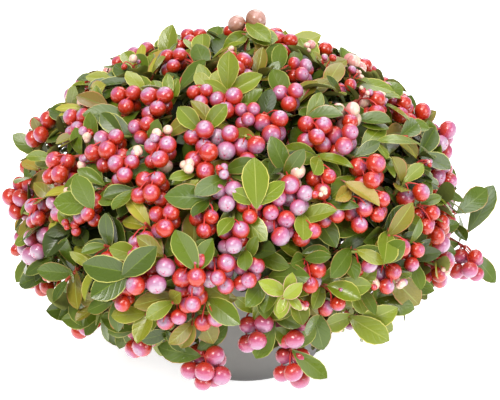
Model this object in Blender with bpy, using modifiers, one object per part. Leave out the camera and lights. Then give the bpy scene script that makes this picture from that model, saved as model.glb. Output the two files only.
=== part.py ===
"""A potted evergreen berry shrub: a low mound of glossy leaves and fat berries over a plain round pot.

The pot stands on the ground at the origin and is filled with potting soil. A short stem with a flared foot rises
from the soil to a hub. Limbs spread from the hub, and each one carries its own mass of foliage: a core, twigs that
fan out of it to the crown's surface, and leaves and berries fused round each twig's tip.
"""

import math
import random

import bmesh
import bpy
from mathutils import Matrix, Vector
from mathutils.bvhtree import BVHTree

# Pot, in metres
POT_HEIGHT = 0.105
POT_TOP_RADIUS = 0.065
POT_FOOT_RADIUS = 0.050
POT_WALL = 0.0018
POT_FLOOR = 0.0025
POT_RIM_WIDTH = 0.0028
POT_RIM_DEPTH = 0.009
POT_FOOT_ROUND = 0.003
POT_SIDES = 36
DRAIN_HOLES = 6
DRAIN_RADIUS = 0.0035
DRAIN_CIRCLE = 0.034

# Soil fill
SOIL_BELOW_RIM = 0.008
SOIL_MOUND = 0.003

# The gap that keeps neighbouring solids apart
GAP = 0.0003

# Stem
STEM_FOOT_RADIUS = 0.0095
STEM_NECK_RADIUS = 0.0058
STEM_HEAD_RADIUS = 0.0082
STEM_SIDES = 12
FLARE_LOBES = 4
HUB = Vector((-0.004, 0.0, 0.138))

# Crown: a flattened dome round CROWN_MIDDLE, widest at its middle height
CROWN_MIDDLE = Vector((-0.0070, 0.0, 0.095))
CROWN_RADIUS = 0.1415
CROWN_RISE = 0.112
CROWN_DROP = 0.070
CROWN_SQUARENESS = 2.0
# (waves round the crown, share of the radius, azimuth of a crest in degrees)
CROWN_LOBES = ((2, 0.025, 15), (3, 0.025, 225), (5, 0.015, 250))

# How low the hem hangs, and the notch at the front through which the pot shows
HEM_HEIGHT = 0.052
HEM_WAVE = 0.007
HEM_WAVES = 4
NOTCH_AZIMUTH = 270
NOTCH_HALF_WIDTH = 7.5
NOTCH_LIFT = 0.034

# Rings of foliage masses seen from the hub: name, count, elevation and first azimuth in degrees
RINGS = (
    ("hem", 9, -18, 10),
    ("shoulder", 7, 30, 13),
    ("top", 1, 90, 0),
)
# Clearance of each mass to the planes that part it from its neighbours, and to the pot's rim
MASS_MARGIN = 0.0006
RIM_CLEARANCE = 0.002

# Limbs
LIMB_SIDES_LEVEL = 1
LIMB_ROOT_RADIUS = 0.0018
LIMB_TIP_RADIUS = 0.0012
LIMB_ARCH = 0.0025
LIMB_REACH = 0.37
LIMB_STEPS = 3

# Foliage masses, as shares of the crown's reach from the hub
CORE_PLACE = 0.60
CORE_DEPTH = 0.18
CORE_WIDTH = 0.047
CORE_SQUARENESS = 3
CORE_COVER = 1.12
TIP_PLACE = 0.91
TWIG_ROOT_RADIUS = 0.0017
TWIG_TIP_RADIUS = 0.0010
SHOOT_SPACING = 0.0352
SEARCH_DIRECTIONS = 2400
LOWEST_WAY = -0.72

# Leaves and berries. The leaves stand for more and smaller ones
LEAF_LENGTH = 0.031
LEAF_WIDTH = 0.0215
LEAF_THICKNESS = 0.0011
LEAF_SAG = 0.16
LEAF_MIDDLE = 0.56
# Corners round the blade, as shares of its length and width
LEAF_OUTLINE = ((0, 0), (0.58, 0.5), (1, 0), (0.58, -0.5))
LEAVES_A_SHOOT = 5
LEAF_SUNK = 0.0034
LEAF_SPREAD = (36, 74)
END_SPREAD = (4, 14)
LEAF_STEP = 0.0034
BERRY_STEP = 0.0060
BERRY_DROP = 0.0135
END_BERRIES = 2
RISING = 0.32
BERRY_RADIUS = 0.0066
BERRY_SEAT = 0.78
TRIES = 8
LEAF_SHRINK = 0.05

# Shoots that reach past the dome: azimuth from the hub, height of the tip, its distance from the hub's axis, and
# whether a leaf or berries end it
LONG_SHOOTS = {
    "right_high": (8, 0.098, 0.136, "leaf"),
    "right_low": (357, 0.068, 0.136, "leaf"),
    "left": (188, 0.070, 0.130, "leaf"),
    "left_low": (212, 0.062, 0.108, "leaf"),
    "left_front": (236, 0.066, 0.106, "leaf"),
    "right_front": (301, 0.066, 0.106, "leaf"),
    "front_left": (259, 0.050, 0.109, "berries"),
    "front_right": (286, 0.050, 0.109, "berries"),
    "crest": (75, 0.209, 0.026, "berries"),
}

LEAF_GREEN = (0.13, 0.24, 0.04, 1)
BARK_BROWN = (0.20, 0.09, 0.05, 1)
POT_GREY = (0.24, 0.24, 0.23, 1)
SOIL_BROWN = (0.05, 0.03, 0.02, 1)
GOLDEN_ANGLE = math.pi * (3 - math.sqrt(5))
UP = Vector((0, 0, 1))


def clear_scene():
    for obj in list(bpy.data.objects):
        bpy.data.objects.remove(obj, do_unlink=True)


def material(name, colour, roughness):
    made = bpy.data.materials.new(name)
    made.use_nodes = True
    shader = made.node_tree.nodes["Principled BSDF"]
    shader.inputs["Base Color"].default_value = colour
    shader.inputs["Roughness"].default_value = roughness
    shader.inputs["Metallic"].default_value = 0.0
    return made


def collection(name):
    made = bpy.data.collections.new(name)
    bpy.context.scene.collection.children.link(made)
    return made


def add_object(name, data, where, finish=None):
    obj = bpy.data.objects.new(name, data)
    where.objects.link(obj)
    if finish:
        data.materials.append(finish)
    return obj


def smooth(obj, angle=35):
    obj.data.shade_smooth()
    obj.data.set_sharp_from_angle(angle=math.radians(angle))


def turned(name, profile, sides, where, finish):
    """A turned solid. The profile is (radius, height) points from the axis, up the inside and down the outside."""
    mesh = bpy.data.meshes.new(name)
    edges = [(i, i + 1) for i in range(len(profile) - 1)]
    mesh.from_pydata([(r, 0, z) for r, z in profile], edges, [])
    obj = add_object(name, mesh, where)
    screw = obj.modifiers.new("turn", "SCREW")
    screw.steps = sides
    screw.render_steps = sides
    screw.use_merge_vertices = True
    screw.merge_threshold = 0.00001
    applied(obj)
    obj.data.materials.append(finish)
    return obj


def applied(obj):
    """Swaps the object's mesh for the one that its modifiers make."""
    graph = bpy.context.evaluated_depsgraph_get()
    old = obj.data
    obj.data = bpy.data.meshes.new_from_object(obj.evaluated_get(graph))
    obj.modifiers.clear()
    bpy.data.meshes.remove(old)


# Pot and soil


def pot_radius(height):
    """Outer radius of the plain wall at this height."""
    return POT_FOOT_RADIUS + (POT_TOP_RADIUS - POT_FOOT_RADIUS) * height / POT_HEIGHT


def make_pot(where, finish):
    rim_under = POT_HEIGHT - POT_RIM_DEPTH
    inner_top = POT_TOP_RADIUS - POT_WALL
    profile = [
        (0, POT_FLOOR),
        (pot_radius(POT_FLOOR) - POT_WALL, POT_FLOOR),
        (inner_top, POT_HEIGHT),
        (POT_TOP_RADIUS + POT_RIM_WIDTH, POT_HEIGHT),
        (POT_TOP_RADIUS + POT_RIM_WIDTH, rim_under),
        (pot_radius(rim_under), rim_under - 0.001),
        (pot_radius(POT_FOOT_ROUND), POT_FOOT_ROUND),
        (pot_radius(POT_FOOT_ROUND) - 0.4 * POT_FOOT_ROUND, 0.3 * POT_FOOT_ROUND),
        (POT_FOOT_RADIUS - POT_FOOT_ROUND, 0),
        (0, 0),
    ]
    pot = turned("pot", profile, POT_SIDES, where, finish)
    cutters = collection("drain_cutters")
    for i in range(DRAIN_HOLES):
        turn = 2 * math.pi * i / DRAIN_HOLES
        hole = bmesh.new()
        place = Matrix.Translation(
            (DRAIN_CIRCLE * math.cos(turn), DRAIN_CIRCLE * math.sin(turn), POT_FLOOR / 2)
        )
        bmesh.ops.create_cone(
            hole,
            cap_ends=True,
            segments=8,
            radius1=DRAIN_RADIUS,
            radius2=DRAIN_RADIUS,
            depth=4 * POT_FLOOR,
            matrix=place,
        )
        mesh = bpy.data.meshes.new(f"drain_{i}")
        hole.to_mesh(mesh)
        hole.free()
        add_object(f"drain_{i}", mesh, cutters)
    join(pot, cutters, "DIFFERENCE")
    smooth(pot)
    return pot


def join(obj, others, operation="UNION"):
    """Applies one Boolean with the whole collection, which is then removed."""
    cut = obj.modifiers.new("join", "BOOLEAN")
    cut.operation = operation
    cut.operand_type = "COLLECTION"
    cut.collection = others
    cut.solver = "EXACT" if operation == "DIFFERENCE" else "MANIFOLD"
    applied(obj)
    for other in list(others.objects):
        mesh = other.data
        bpy.data.objects.remove(other, do_unlink=True)
        bpy.data.meshes.remove(mesh)
    bpy.data.collections.remove(others)


def keep_outer_shell(obj):
    """Drops loose scraps, and the walls of hollows that the join sealed, which fills those hollows."""
    shape = bmesh.new()
    shape.from_mesh(obj.data)
    left = set(shape.verts)
    shells = []
    while left:
        shell = set()
        edge_of_shell = [next(iter(left))]
        while edge_of_shell:
            vertex = edge_of_shell.pop()
            if vertex in shell:
                continue
            shell.add(vertex)
            edge_of_shell += [edge.other_vert(vertex) for edge in vertex.link_edges]
        left -= shell
        shells.append(shell)
    outer = max(shells, key=len)
    bmesh.ops.delete(shape, geom=[v for v in shape.verts if v not in outer], context="VERTS")
    shape.to_mesh(obj.data)
    shape.free()


def soil_top():
    return POT_HEIGHT - SOIL_BELOW_RIM


def make_soil(where, finish):
    foot = POT_FLOOR + GAP
    clear = POT_WALL + GAP
    edge = pot_radius(soil_top() - SOIL_MOUND) - clear
    profile = [
        (0, soil_top()),
        (0.6 * edge, soil_top() - 0.3 * SOIL_MOUND),
        (edge, soil_top() - SOIL_MOUND),
        (pot_radius(foot) - clear, foot),
        (0, foot),
    ]
    return turned("soil", profile, POT_SIDES, where, finish)


# Stem and limbs


def make_stem(where, finish):
    foot = soil_top() + GAP
    neck = foot + 0.55 * (HUB.z - foot)
    rows = 5
    profile = [(0, HUB.z + STEM_HEAD_RADIUS)]
    for row in range(1, rows + 1):
        turn = math.radians(125) * row / rows
        profile.append(
            (STEM_HEAD_RADIUS * math.sin(turn), HUB.z + STEM_HEAD_RADIUS * math.cos(turn))
        )
    profile += [
        (STEM_NECK_RADIUS, neck),
        (1.12 * STEM_NECK_RADIUS, foot + 0.008),
        (STEM_FOOT_RADIUS, foot + 0.002),
        (1.04 * STEM_FOOT_RADIUS, foot),
        (0, foot),
    ]
    stem = turned("stem", profile, STEM_SIDES, where, finish)
    for vertex in stem.data.vertices:
        flare = max(0.0, 1 - (vertex.co.z - foot) / 0.014)
        around = math.atan2(vertex.co.y, vertex.co.x)
        swell = 1 + 0.16 * flare * math.cos(FLARE_LOBES * around)
        rise = min(1.0, (vertex.co.z - foot) / (HUB.z - STEM_HEAD_RADIUS - foot))
        vertex.co.x = vertex.co.x * swell + HUB.x * rise
        vertex.co.y = vertex.co.y * swell + HUB.y * rise
    smooth(stem, 60)
    return stem


def direction(azimuth, elevation):
    a, e = math.radians(azimuth), math.radians(elevation)
    return Vector((math.cos(a) * math.cos(e), math.sin(a) * math.cos(e), math.sin(e)))


def make_limb(name, way, length, bend, where, finish):
    """A tapering limb from the hub along way. It arches a little to one side between two straight ends."""
    curve = bpy.data.curves.new(name, "CURVE")
    curve.dimensions = "3D"
    curve.bevel_depth = 1.0
    curve.bevel_resolution = LIMB_SIDES_LEVEL
    curve.use_fill_caps = True
    spline = curve.splines.new("POLY")
    spline.points.add(LIMB_STEPS)
    root = STEM_HEAD_RADIUS + GAP
    for i, point in enumerate(spline.points):
        along = i / LIMB_STEPS
        arch = LIMB_ARCH * math.sin(math.pi * min(1.0, along * LIMB_STEPS / (LIMB_STEPS - 1))) ** 2
        place = HUB + way * (root + (length - root) * along) + bend * arch
        point.co = (*place, 1)
        point.radius = LIMB_ROOT_RADIUS + (LIMB_TIP_RADIUS - LIMB_ROOT_RADIUS) * along
    return add_object(name, curve, where, finish)


# The crown's shape


def crown_radius(azimuth):
    share = 1.0
    for waves, size, crest in CROWN_LOBES:
        share += size * math.cos(waves * (azimuth - math.radians(crest)))
    return CROWN_RADIUS * share


def inside_crown(point):
    off = point - CROWN_MIDDLE
    wide = math.hypot(off.x, off.y) / crown_radius(math.atan2(off.y, off.x))
    high = abs(off.z) / (CROWN_RISE if off.z > 0 else CROWN_DROP)
    return wide**CROWN_SQUARENESS + high**CROWN_SQUARENESS < 1


def crown_reach(way):
    """Distance from the hub to the crown's surface along way, found by halving."""
    near, far = 0.0, 0.3
    for _ in range(24):
        middle = (near + far) / 2
        if inside_crown(HUB + way * middle):
            near = middle
        else:
            far = middle
    return near


def hem_height(azimuth):
    """The lowest that foliage hangs at this azimuth, in degrees."""
    off = (azimuth - NOTCH_AZIMUTH + 180) % 360 - 180
    lift = NOTCH_LIFT * math.exp(-((off / NOTCH_HALF_WIDTH) ** 2))
    return HEM_HEIGHT + HEM_WAVE * math.cos(HEM_WAVES * math.radians(azimuth)) + lift


def spiral_directions(count):
    """Directions spread evenly over the sphere on a golden-angle spiral."""
    found = []
    for i in range(count):
        height = 1 - (2 * i + 1) / count
        level = math.sqrt(1 - height * height)
        turn = GOLDEN_ANGLE * i
        found.append(Vector((level * math.cos(turn), level * math.sin(turn), height)))
    return found


def long_shoot_tip(azimuth, height, out):
    a = math.radians(azimuth)
    return Vector((HUB.x + out * math.cos(a), HUB.y + out * math.sin(a), height))


def shoot_tips(spacing):
    """Where the twigs end, and what ends them: the long shoots, then evenly over the crown's surface above its hem."""
    tips = [long_shoot_tip(*sizes) for *sizes, _ in LONG_SHOOTS.values()]
    ends = [end for *_, end in LONG_SHOOTS.values()]
    for way in spiral_directions(SEARCH_DIRECTIONS):
        if way.z < LOWEST_WAY:
            break
        reach = crown_reach(way)
        azimuth = math.degrees(math.atan2(way.y, way.x))
        tip = HUB + way * reach * TIP_PLACE
        if (HUB + way * reach).z > hem_height(azimuth) and clear_of(tip, tips, spacing):
            tips.append(tip)
            ends.append("whorl")
    return list(zip(tips, ends))


def clear_of(tip, tips, spacing):
    return all((tip - other).length > spacing for other in tips)


# Foliage masses


class Mass:
    """One mass of foliage. It keeps to the cone of space nearer to its own direction than to any other mass's."""

    def __init__(self, name, way):
        self.name = name
        self.way = way
        self.reach = crown_reach(way)
        self.start = self.reach * LIMB_REACH
        self.walls = []
        self.pieces = None
        self.grown = []

    def build_walls(self, others):
        for other in others:
            if other is not self:
                self.walls.append((self.way - other.way).normalized())

    def holds(self, points):
        """True if every point is in this mass's space, clear of the pot and of the limb."""
        for point in points:
            off = point - HUB
            if any(off.dot(wall) < MASS_MARGIN for wall in self.walls):
                return False
            if off.dot(self.way) < self.start + 2 * GAP:
                return False
        if min(point.z for point in points) > POT_HEIGHT + RIM_CLEARANCE:
            return True
        return all(self.beyond_rim(point) > RIM_CLEARANCE for point in points)

    def beyond_rim(self, point):
        """How far outside the pot's rim a point lies, along this mass's own level direction."""
        level = Vector((self.way.x, self.way.y, 0)).normalized()
        return point.dot(level) - POT_TOP_RADIUS - POT_RIM_WIDTH

    def over_rim(self, point):
        """True on the far side of a plane that leans over the rim, so that no face between such points cuts it."""
        return abs(self.way.z) > 0.9 or self.beyond_rim(point) + point.z - POT_HEIGHT > 2 * RIM_CLEARANCE

    def free_of_others(self, shape):
        """True if the shape crosses no leaf or berry that has grown before it."""
        tree = BVHTree.FromBMesh(shape)
        return not any(tree.overlap(other) for other in self.grown)

    def add_grown(self, name, shape):
        """Adds a leaf or berry, which later ones then keep clear of."""
        self.grown.append(BVHTree.FromBMesh(shape))
        self.add(name, shape)

    def add(self, name, shape):
        mesh = bpy.data.meshes.new(name)
        shape.to_mesh(mesh)
        shape.free()
        return add_object(name, mesh, self.pieces)


def facing(along, normal):
    """A rotation whose X axis is along and whose Z axis is as near to normal as it can be."""
    x = along.normalized()
    y = normal.cross(x)
    if y.length < 1e-6:
        y = x.orthogonal()
    y.normalize()
    return Matrix((x, y, x.cross(y))).transposed().to_4x4()


def core_shape(mass, rng):
    """A lumpy core, pressed in wherever it would leave the mass's space."""
    shape = bmesh.new()
    bmesh.ops.create_icosphere(shape, subdivisions=2, radius=1.0)
    middle = HUB + mass.way * mass.reach * CORE_PLACE
    turn = facing(mass.way, UP).to_3x3()
    size = Vector((mass.reach * CORE_DEPTH, CORE_WIDTH, CORE_WIDTH))
    for vertex in shape.verts:
        fullness = sum(abs(share) ** CORE_SQUARENESS for share in vertex.co) ** (1 / CORE_SQUARENESS)
        lump = rng.uniform(0.90, 1.08) / fullness
        off = turn @ Vector([a * b * lump for a, b in zip(vertex.co, size)])
        while not (mass.holds([middle + off]) and mass.over_rim(middle + off)) or not inside_crown(
            middle + off * CORE_COVER
        ):
            off *= 0.94
        vertex.co = middle + off
    return shape


def twig_shape(start, end, root_radius, tip_radius):
    shape = bmesh.new()
    way = end - start
    place = Matrix.Translation((start + end) / 2) @ way.to_track_quat("Z", "Y").to_matrix().to_4x4()
    bmesh.ops.create_cone(
        shape,
        cap_ends=True,
        segments=3,
        radius1=root_radius,
        radius2=tip_radius,
        depth=way.length,
        matrix=place,
    )
    return shape


def leaf_shape(root, along, normal, length, width):
    """A thin leaf with pointed ends. Its blade bends down a little along its length, and is thickest in the middle."""
    turn = facing(along, normal).to_3x3()
    shape = bmesh.new()

    def corner(run, side, thick):
        sag = -LEAF_SAG * length * run * run
        return shape.verts.new(root + turn @ Vector((run * length, side * width, sag + thick)))

    rim = [corner(run, side, 0) for run, side in LEAF_OUTLINE]
    upper = corner(LEAF_MIDDLE, 0, LEAF_THICKNESS / 2)
    lower = corner(LEAF_MIDDLE, 0, -LEAF_THICKNESS / 2)
    for i, here in enumerate(rim):
        after = rim[(i + 1) % len(rim)]
        shape.faces.new((upper, after, here))
        shape.faces.new((lower, here, after))
    bmesh.ops.recalc_face_normals(shape, faces=shape.faces)
    return shape


def berry_shape(middle, radius):
    shape = bmesh.new()
    bmesh.ops.create_icosphere(shape, subdivisions=1, radius=radius, matrix=Matrix.Translation(middle))
    return shape


def corners(shape):
    return [vertex.co.copy() for vertex in shape.verts]


def add_leaf(mass, name, root, axis, side, turn, spreads, rng):
    """Fuses a leaf to the twig at root. It turns round the twig until it stays in the mass's space."""
    for attempt in range(TRIES):
        around = turn + attempt * 0.9
        out = Matrix.Rotation(around, 3, axis) @ side
        spread = math.radians(rng.uniform(*spreads))
        along = axis * math.cos(spread) + out * math.sin(spread)
        length = LEAF_LENGTH * rng.uniform(0.85, 1.1) * (1 - LEAF_SHRINK * attempt)
        foot = root - along * LEAF_SUNK
        shape = leaf_shape(foot, along, axis + UP * 0.35, length, LEAF_WIDTH * length / LEAF_LENGTH)
        if mass.holds(corners(shape)) and mass.free_of_others(shape):
            mass.add_grown(name, shape)
            return True
        shape.free()
    return False


def add_berry(mass, name, root, outs, rng):
    """Fuses a berry to the twig at root, on the first of the sides in outs where there is room."""
    for out in outs:
        radius = BERRY_RADIUS * rng.uniform(0.9, 1.1)
        shape = berry_shape(root + out * (radius * BERRY_SEAT), radius)
        if mass.holds(corners(shape)) and mass.free_of_others(shape):
            mass.add_grown(name, shape)
            return True
        shape.free()
    return False


def add_shoot(mass, number, tip, end, side_berries, rng):
    """A twig from the mass's own stem to its tip: a berry or leaf at its end, then leaves and berries down it."""
    foot = HUB + mass.way * mass.reach * CORE_PLACE
    lean = (tip - foot).normalized()
    if not mass.holds([tip]):
        return
    mass.add(f"twig_{number}", twig_shape(foot, tip, TWIG_ROOT_RADIUS, TWIG_TIP_RADIUS))
    outward = (tip - HUB).normalized()
    axis = (lean * 0.2 + outward * 0.5 + UP * RISING * (1 + outward.z)).normalized()
    side = axis.orthogonal().normalized()
    turn = rng.uniform(0, 2 * math.pi)
    if end == "leaf":
        add_leaf(mass, f"leaf_{number}_end", tip, axis, side, turn, END_SPREAD, rng)
    else:
        add_berry(mass, f"berry_{number}_end", tip, [lean, axis], rng)
    if end == "berries":
        side_berries = END_BERRIES
    for i in range(side_berries):
        root = tip - lean * (BERRY_DROP + BERRY_STEP * i)
        outs = [Matrix.Rotation(turn + 2.1 * i + 0.9 * k, 3, axis) @ side for k in range(TRIES)]
        add_berry(mass, f"berry_{number}_{i}", root, outs, rng)
    for i in range(LEAVES_A_SHOOT):
        root = tip - lean * (0.0012 + LEAF_STEP * i)
        add_leaf(mass, f"leaf_{number}_{i}", root, axis, side, turn + i * GOLDEN_ANGLE, LEAF_SPREAD, rng)


def make_mass(mass, tips, where, finish, seed):
    rng = random.Random(seed)
    mass.pieces = collection(mass.name + "_pieces")
    stem_start = HUB + mass.way * (mass.start + GAP)
    stem_end = HUB + mass.way * mass.reach * (TIP_PLACE - 0.05)
    stem = twig_shape(stem_start, stem_end, LIMB_TIP_RADIUS, TWIG_TIP_RADIUS)
    mesh = bpy.data.meshes.new(mass.name)
    stem.to_mesh(mesh)
    stem.free()
    obj = add_object(mass.name, mesh, where)
    mass.add("core", core_shape(mass, rng))
    for number, (tip, end) in enumerate(tips):
        add_shoot(mass, number, tip, end, (number + seed) % 2, rng)
    join(obj, mass.pieces)
    keep_outer_shell(obj)
    obj.data.materials.clear()
    obj.data.materials.append(finish)
    return obj


def make_masses():
    masses = []
    for ring, count, elevation, first in RINGS:
        for i in range(count):
            name = f"{ring}_foliage" if count == 1 else f"{ring}_foliage_{i + 1}"
            masses.append(Mass(name, direction(first + 360 * i / count, elevation)))
    for mass in masses:
        mass.build_walls(masses)
    return masses


def nearest_mass(masses, tip):
    way = (tip - HUB).normalized()
    return max(masses, key=lambda mass: mass.way.dot(way))


def main():
    clear_scene()
    shrub = collection("potted_berry_shrub")
    leaf = material("leaf", LEAF_GREEN, 0.35)
    bark = material("bark", BARK_BROWN, 0.75)
    make_pot(shrub, material("pot", POT_GREY, 0.6))
    make_soil(shrub, material("soil", SOIL_BROWN, 0.95))
    make_stem(shrub, bark)
    masses = make_masses()
    tips = shoot_tips(SHOOT_SPACING)
    for seed, mass in enumerate(masses):
        bend = mass.way.cross(UP) if abs(mass.way.z) < 0.9 else Vector((1, 0, 0))
        limb = mass.name.replace("foliage", "limb")
        make_limb(limb, mass.way, mass.start, bend.normalized(), shrub, bark)
        own = [(tip, end) for tip, end in tips if nearest_mass(masses, tip) is mass]
        make_mass(mass, own, shrub, leaf, seed)


main()
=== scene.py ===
import itertools
import math
import random

import bmesh
import bpy
import numpy as np
from mathutils import Matrix, Vector, noise
from mathutils.bvhtree import BVHTree


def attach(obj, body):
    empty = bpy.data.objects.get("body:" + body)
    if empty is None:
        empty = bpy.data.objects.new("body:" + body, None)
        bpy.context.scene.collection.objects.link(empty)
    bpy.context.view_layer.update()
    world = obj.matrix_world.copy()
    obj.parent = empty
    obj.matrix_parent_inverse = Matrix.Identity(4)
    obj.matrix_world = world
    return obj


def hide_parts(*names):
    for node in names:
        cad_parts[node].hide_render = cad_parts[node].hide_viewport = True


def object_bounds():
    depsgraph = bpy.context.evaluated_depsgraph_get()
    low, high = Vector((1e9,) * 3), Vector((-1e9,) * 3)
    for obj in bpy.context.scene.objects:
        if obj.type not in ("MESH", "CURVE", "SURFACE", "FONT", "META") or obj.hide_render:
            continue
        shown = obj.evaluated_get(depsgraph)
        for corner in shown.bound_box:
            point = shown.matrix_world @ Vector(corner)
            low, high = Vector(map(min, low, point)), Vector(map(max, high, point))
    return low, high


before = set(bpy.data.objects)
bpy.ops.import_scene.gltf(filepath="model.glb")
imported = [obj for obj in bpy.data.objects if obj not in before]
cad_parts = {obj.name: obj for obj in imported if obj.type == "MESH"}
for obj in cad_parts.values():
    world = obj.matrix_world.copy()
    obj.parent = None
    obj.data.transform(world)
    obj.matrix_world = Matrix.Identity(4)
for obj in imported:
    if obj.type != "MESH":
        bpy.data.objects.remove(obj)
cadLow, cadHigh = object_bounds()  # the CAD model's box, before anything is replaced
print("frame loaded,", len(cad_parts), "nodes")

up = Vector((0, 0, 1))
goldenAngle = math.pi * (3 - math.sqrt(5))


# Camera and lamps

cameraView = {
    "lens": 100,
    "sensor": 36,
    "clip": (0.01, 50),
    "elevation": 28,  # degrees above the floor
    "distance": 0.87,
    "lookAt": Vector((0.0033, 0, 0.1041)),
}
seenTilt = math.radians(cameraView["elevation"])
seenRight = Vector((1, 0, 0))
seenUp = Vector((0, math.sin(seenTilt), math.cos(seenTilt)))
seenNear = Vector((0, -math.cos(seenTilt), math.sin(seenTilt)))  # towards the viewer
lamps = {
    # name: where it stands, width, power in watts, colour
    "key": (Vector((-0.55, -1.05, 1.45)), 0.75, 21.5, "#fffaf4"),
    "top": (Vector((0.05, -0.25, 1.75)), 1.4, 18, "#fbfbff"),
    "fill": (Vector((1.1, -0.9, 0.7)), 0.9, 10.5, "#f6f9ff"),
    "back": (Vector((0.3, 1.2, 1.2)), 1.2, 11, "#ffffff"),
}
lampAim = Vector((0, 0, 0.1))
worldLight = {"colour": "#ffffff", "strength": 0.40}


def paint(code):
    # the linear colour of a #rrggbb code
    shares = [int(code[i : i + 2], 16) / 255 for i in (1, 3, 5)]
    return (*[s / 12.92 if s <= 0.04045 else ((s + 0.055) / 1.055) ** 2.4 for s in shares], 1.0)


def addObject(name, data):
    made = bpy.data.objects.new(name, data)
    bpy.context.scene.collection.objects.link(made)
    return made


def aim(thing, spot, way):
    thing.location = spot
    thing.rotation_mode = "QUATERNION"
    thing.rotation_quaternion = way.to_track_quat("-Z", "Y")


def makeCamera():
    data = bpy.data.cameras.new("camera")
    data.lens = cameraView["lens"]
    data.sensor_width = cameraView["sensor"]
    data.clip_start, data.clip_end = cameraView["clip"]
    camera = addObject("camera", data)
    aim(camera, cameraView["lookAt"] + seenNear * cameraView["distance"], -seenNear)
    bpy.context.scene.camera = camera


def makeLamps():
    for name, (spot, width, power, colour) in lamps.items():
        data = bpy.data.lights.new(name, "AREA")
        data.shape = "DISK"
        data.size = width
        data.energy = power
        data.color = paint(colour)[:3]
        aim(addObject(name, data), spot, lampAim - spot)
    world = bpy.data.worlds.new("studio")
    world.use_nodes = True
    sky = world.node_tree.nodes["Background"]
    sky.inputs["Color"].default_value = paint(worldLight["colour"])
    sky.inputs["Strength"].default_value = worldLight["strength"]
    bpy.context.scene.world = world
    bpy.context.scene.view_settings.view_transform = "Standard"


# Shader node groups shared by the materials


def addNode(tree, kind, values=None, **settings):
    # outputs of other nodes are linked to the node's inputs, numbers and colours are set on them
    node = tree.nodes.new("ShaderNode" + kind)
    for label, value in settings.items():
        setattr(node, label, value)
    for label, value in (values or {}).items():
        if isinstance(value, bpy.types.NodeSocket):
            tree.links.new(value, node.inputs[label])
        else:
            node.inputs[label].default_value = value
    return node


def mathNode(tree, operation, *values):
    return addNode(tree, "Math", dict(enumerate(values)), operation=operation).outputs[0]


def noiseNode(tree, scale, detail, roughness=0.5):
    values = {
        "Vector": addNode(tree, "TexCoord").outputs["Object"],
        "Scale": scale,
        "Detail": detail,
        "Roughness": roughness,
    }
    return addNode(tree, "TexNoise", values).outputs["Fac"]


def rangeNode(tree, value, low, high, toLow, toHigh, kind="LINEAR"):
    values = {"Value": value, "From Min": low, "From Max": high, "To Min": toLow, "To Max": toHigh}
    return addNode(tree, "MapRange", values, interpolation_type=kind).outputs["Result"]


def bumpNode(tree, height, strength, distance):
    values = {"Height": height, "Strength": strength, "Distance": distance}
    return addNode(tree, "Bump", values).outputs["Normal"]


def mixNode(tree, mask, first, second):
    return addNode(tree, "Mix", {"Factor": mask, "A": first, "B": second}, data_type="RGBA").outputs["Result"]


def newGroup(name, **inputs):
    group = bpy.data.node_groups.new(name, "ShaderNodeTree")
    for label, value in inputs.items():
        kind = "NodeSocketColor" if isinstance(value, tuple) else "NodeSocketFloat"
        group.interface.new_socket(label, in_out="INPUT", socket_type=kind).default_value = value
    return group, group.nodes.new("NodeGroupInput").outputs


def endGroup(group, label, result):
    # the group's output, of the kind that the result has
    kind = {"VALUE": "NodeSocketFloat", "VECTOR": "NodeSocketVector", "RGBA": "NodeSocketColor"}[result.type]
    group.interface.new_socket(label, in_out="OUTPUT", socket_type=kind)
    group.links.new(result, group.nodes.new("NodeGroupOutput").inputs[label])


def makeUnevenShine():
    # roughness that drifts between two values over the surface
    group, given = newGroup("unevenShine", Scale=120.0, Smoothest=0.3, Roughest=0.5)
    drift = noiseNode(group, given["Scale"], 2.0)
    endGroup(group, "Roughness", rangeNode(group, drift, 0.35, 0.65, given["Smoothest"], given["Roughest"]))


def makeFineRelief():
    # small lumps over the whole surface
    group, given = newGroup("fineRelief", Scale=400.0, Strength=0.3, Depth=0.0002)
    lumps = noiseNode(group, given["Scale"], 4.0, 0.55)
    endGroup(group, "Normal", bumpNode(group, lumps, given["Strength"], given["Depth"]))


def makeLeafVeins():
    # side veins that slant from the midrib, and the fine net between them
    group, given = newGroup("leafVeins", Veins=7.0, Slant=0.32, Strength=0.5, Depth=0.0003)
    spot = addNode(group, "UVMap", uv_map="bladePlace").outputs["UV"]
    run, across, _ = addNode(group, "SeparateXYZ", {0: spot}).outputs
    off = mathNode(group, "ABSOLUTE", mathNode(group, "SUBTRACT", across, 0.5))
    slanted = mathNode(group, "MULTIPLY", off, mathNode(group, "MULTIPLY", given["Slant"], 2.0))
    along = mathNode(group, "MULTIPLY", mathNode(group, "SUBTRACT", run, slanted), given["Veins"])
    near = mathNode(group, "ABSOLUTE", mathNode(group, "SUBTRACT", mathNode(group, "FRACT", along), 0.5))
    vein = rangeNode(group, near, 0.0, 0.22, 1.0, 0.0, "SMOOTHSTEP")
    net = mathNode(group, "MULTIPLY", noiseNode(group, 800.0, 2.0), 0.5)
    height = mathNode(group, "SUBTRACT", net, vein)
    endGroup(group, "Normal", bumpNode(group, height, given["Strength"], given["Depth"]))


def makeTwoTone():
    # two colours that lie in patches
    grey, dark = (0.5, 0.5, 0.5, 1), (0.3, 0.3, 0.3, 1)
    group, given = newGroup("twoTone", First=grey, Second=dark, Scale=60.0, Balance=0.5, Softness=0.2)
    patches = noiseNode(group, given["Scale"], 6.0, 0.6)
    low, high = (mathNode(group, way, given["Balance"], given["Softness"]) for way in ("SUBTRACT", "ADD"))
    mask = rangeNode(group, patches, low, high, 0.0, 1.0, "SMOOTHSTEP")
    endGroup(group, "Color", mixNode(group, mask, given["First"], given["Second"]))


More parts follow.
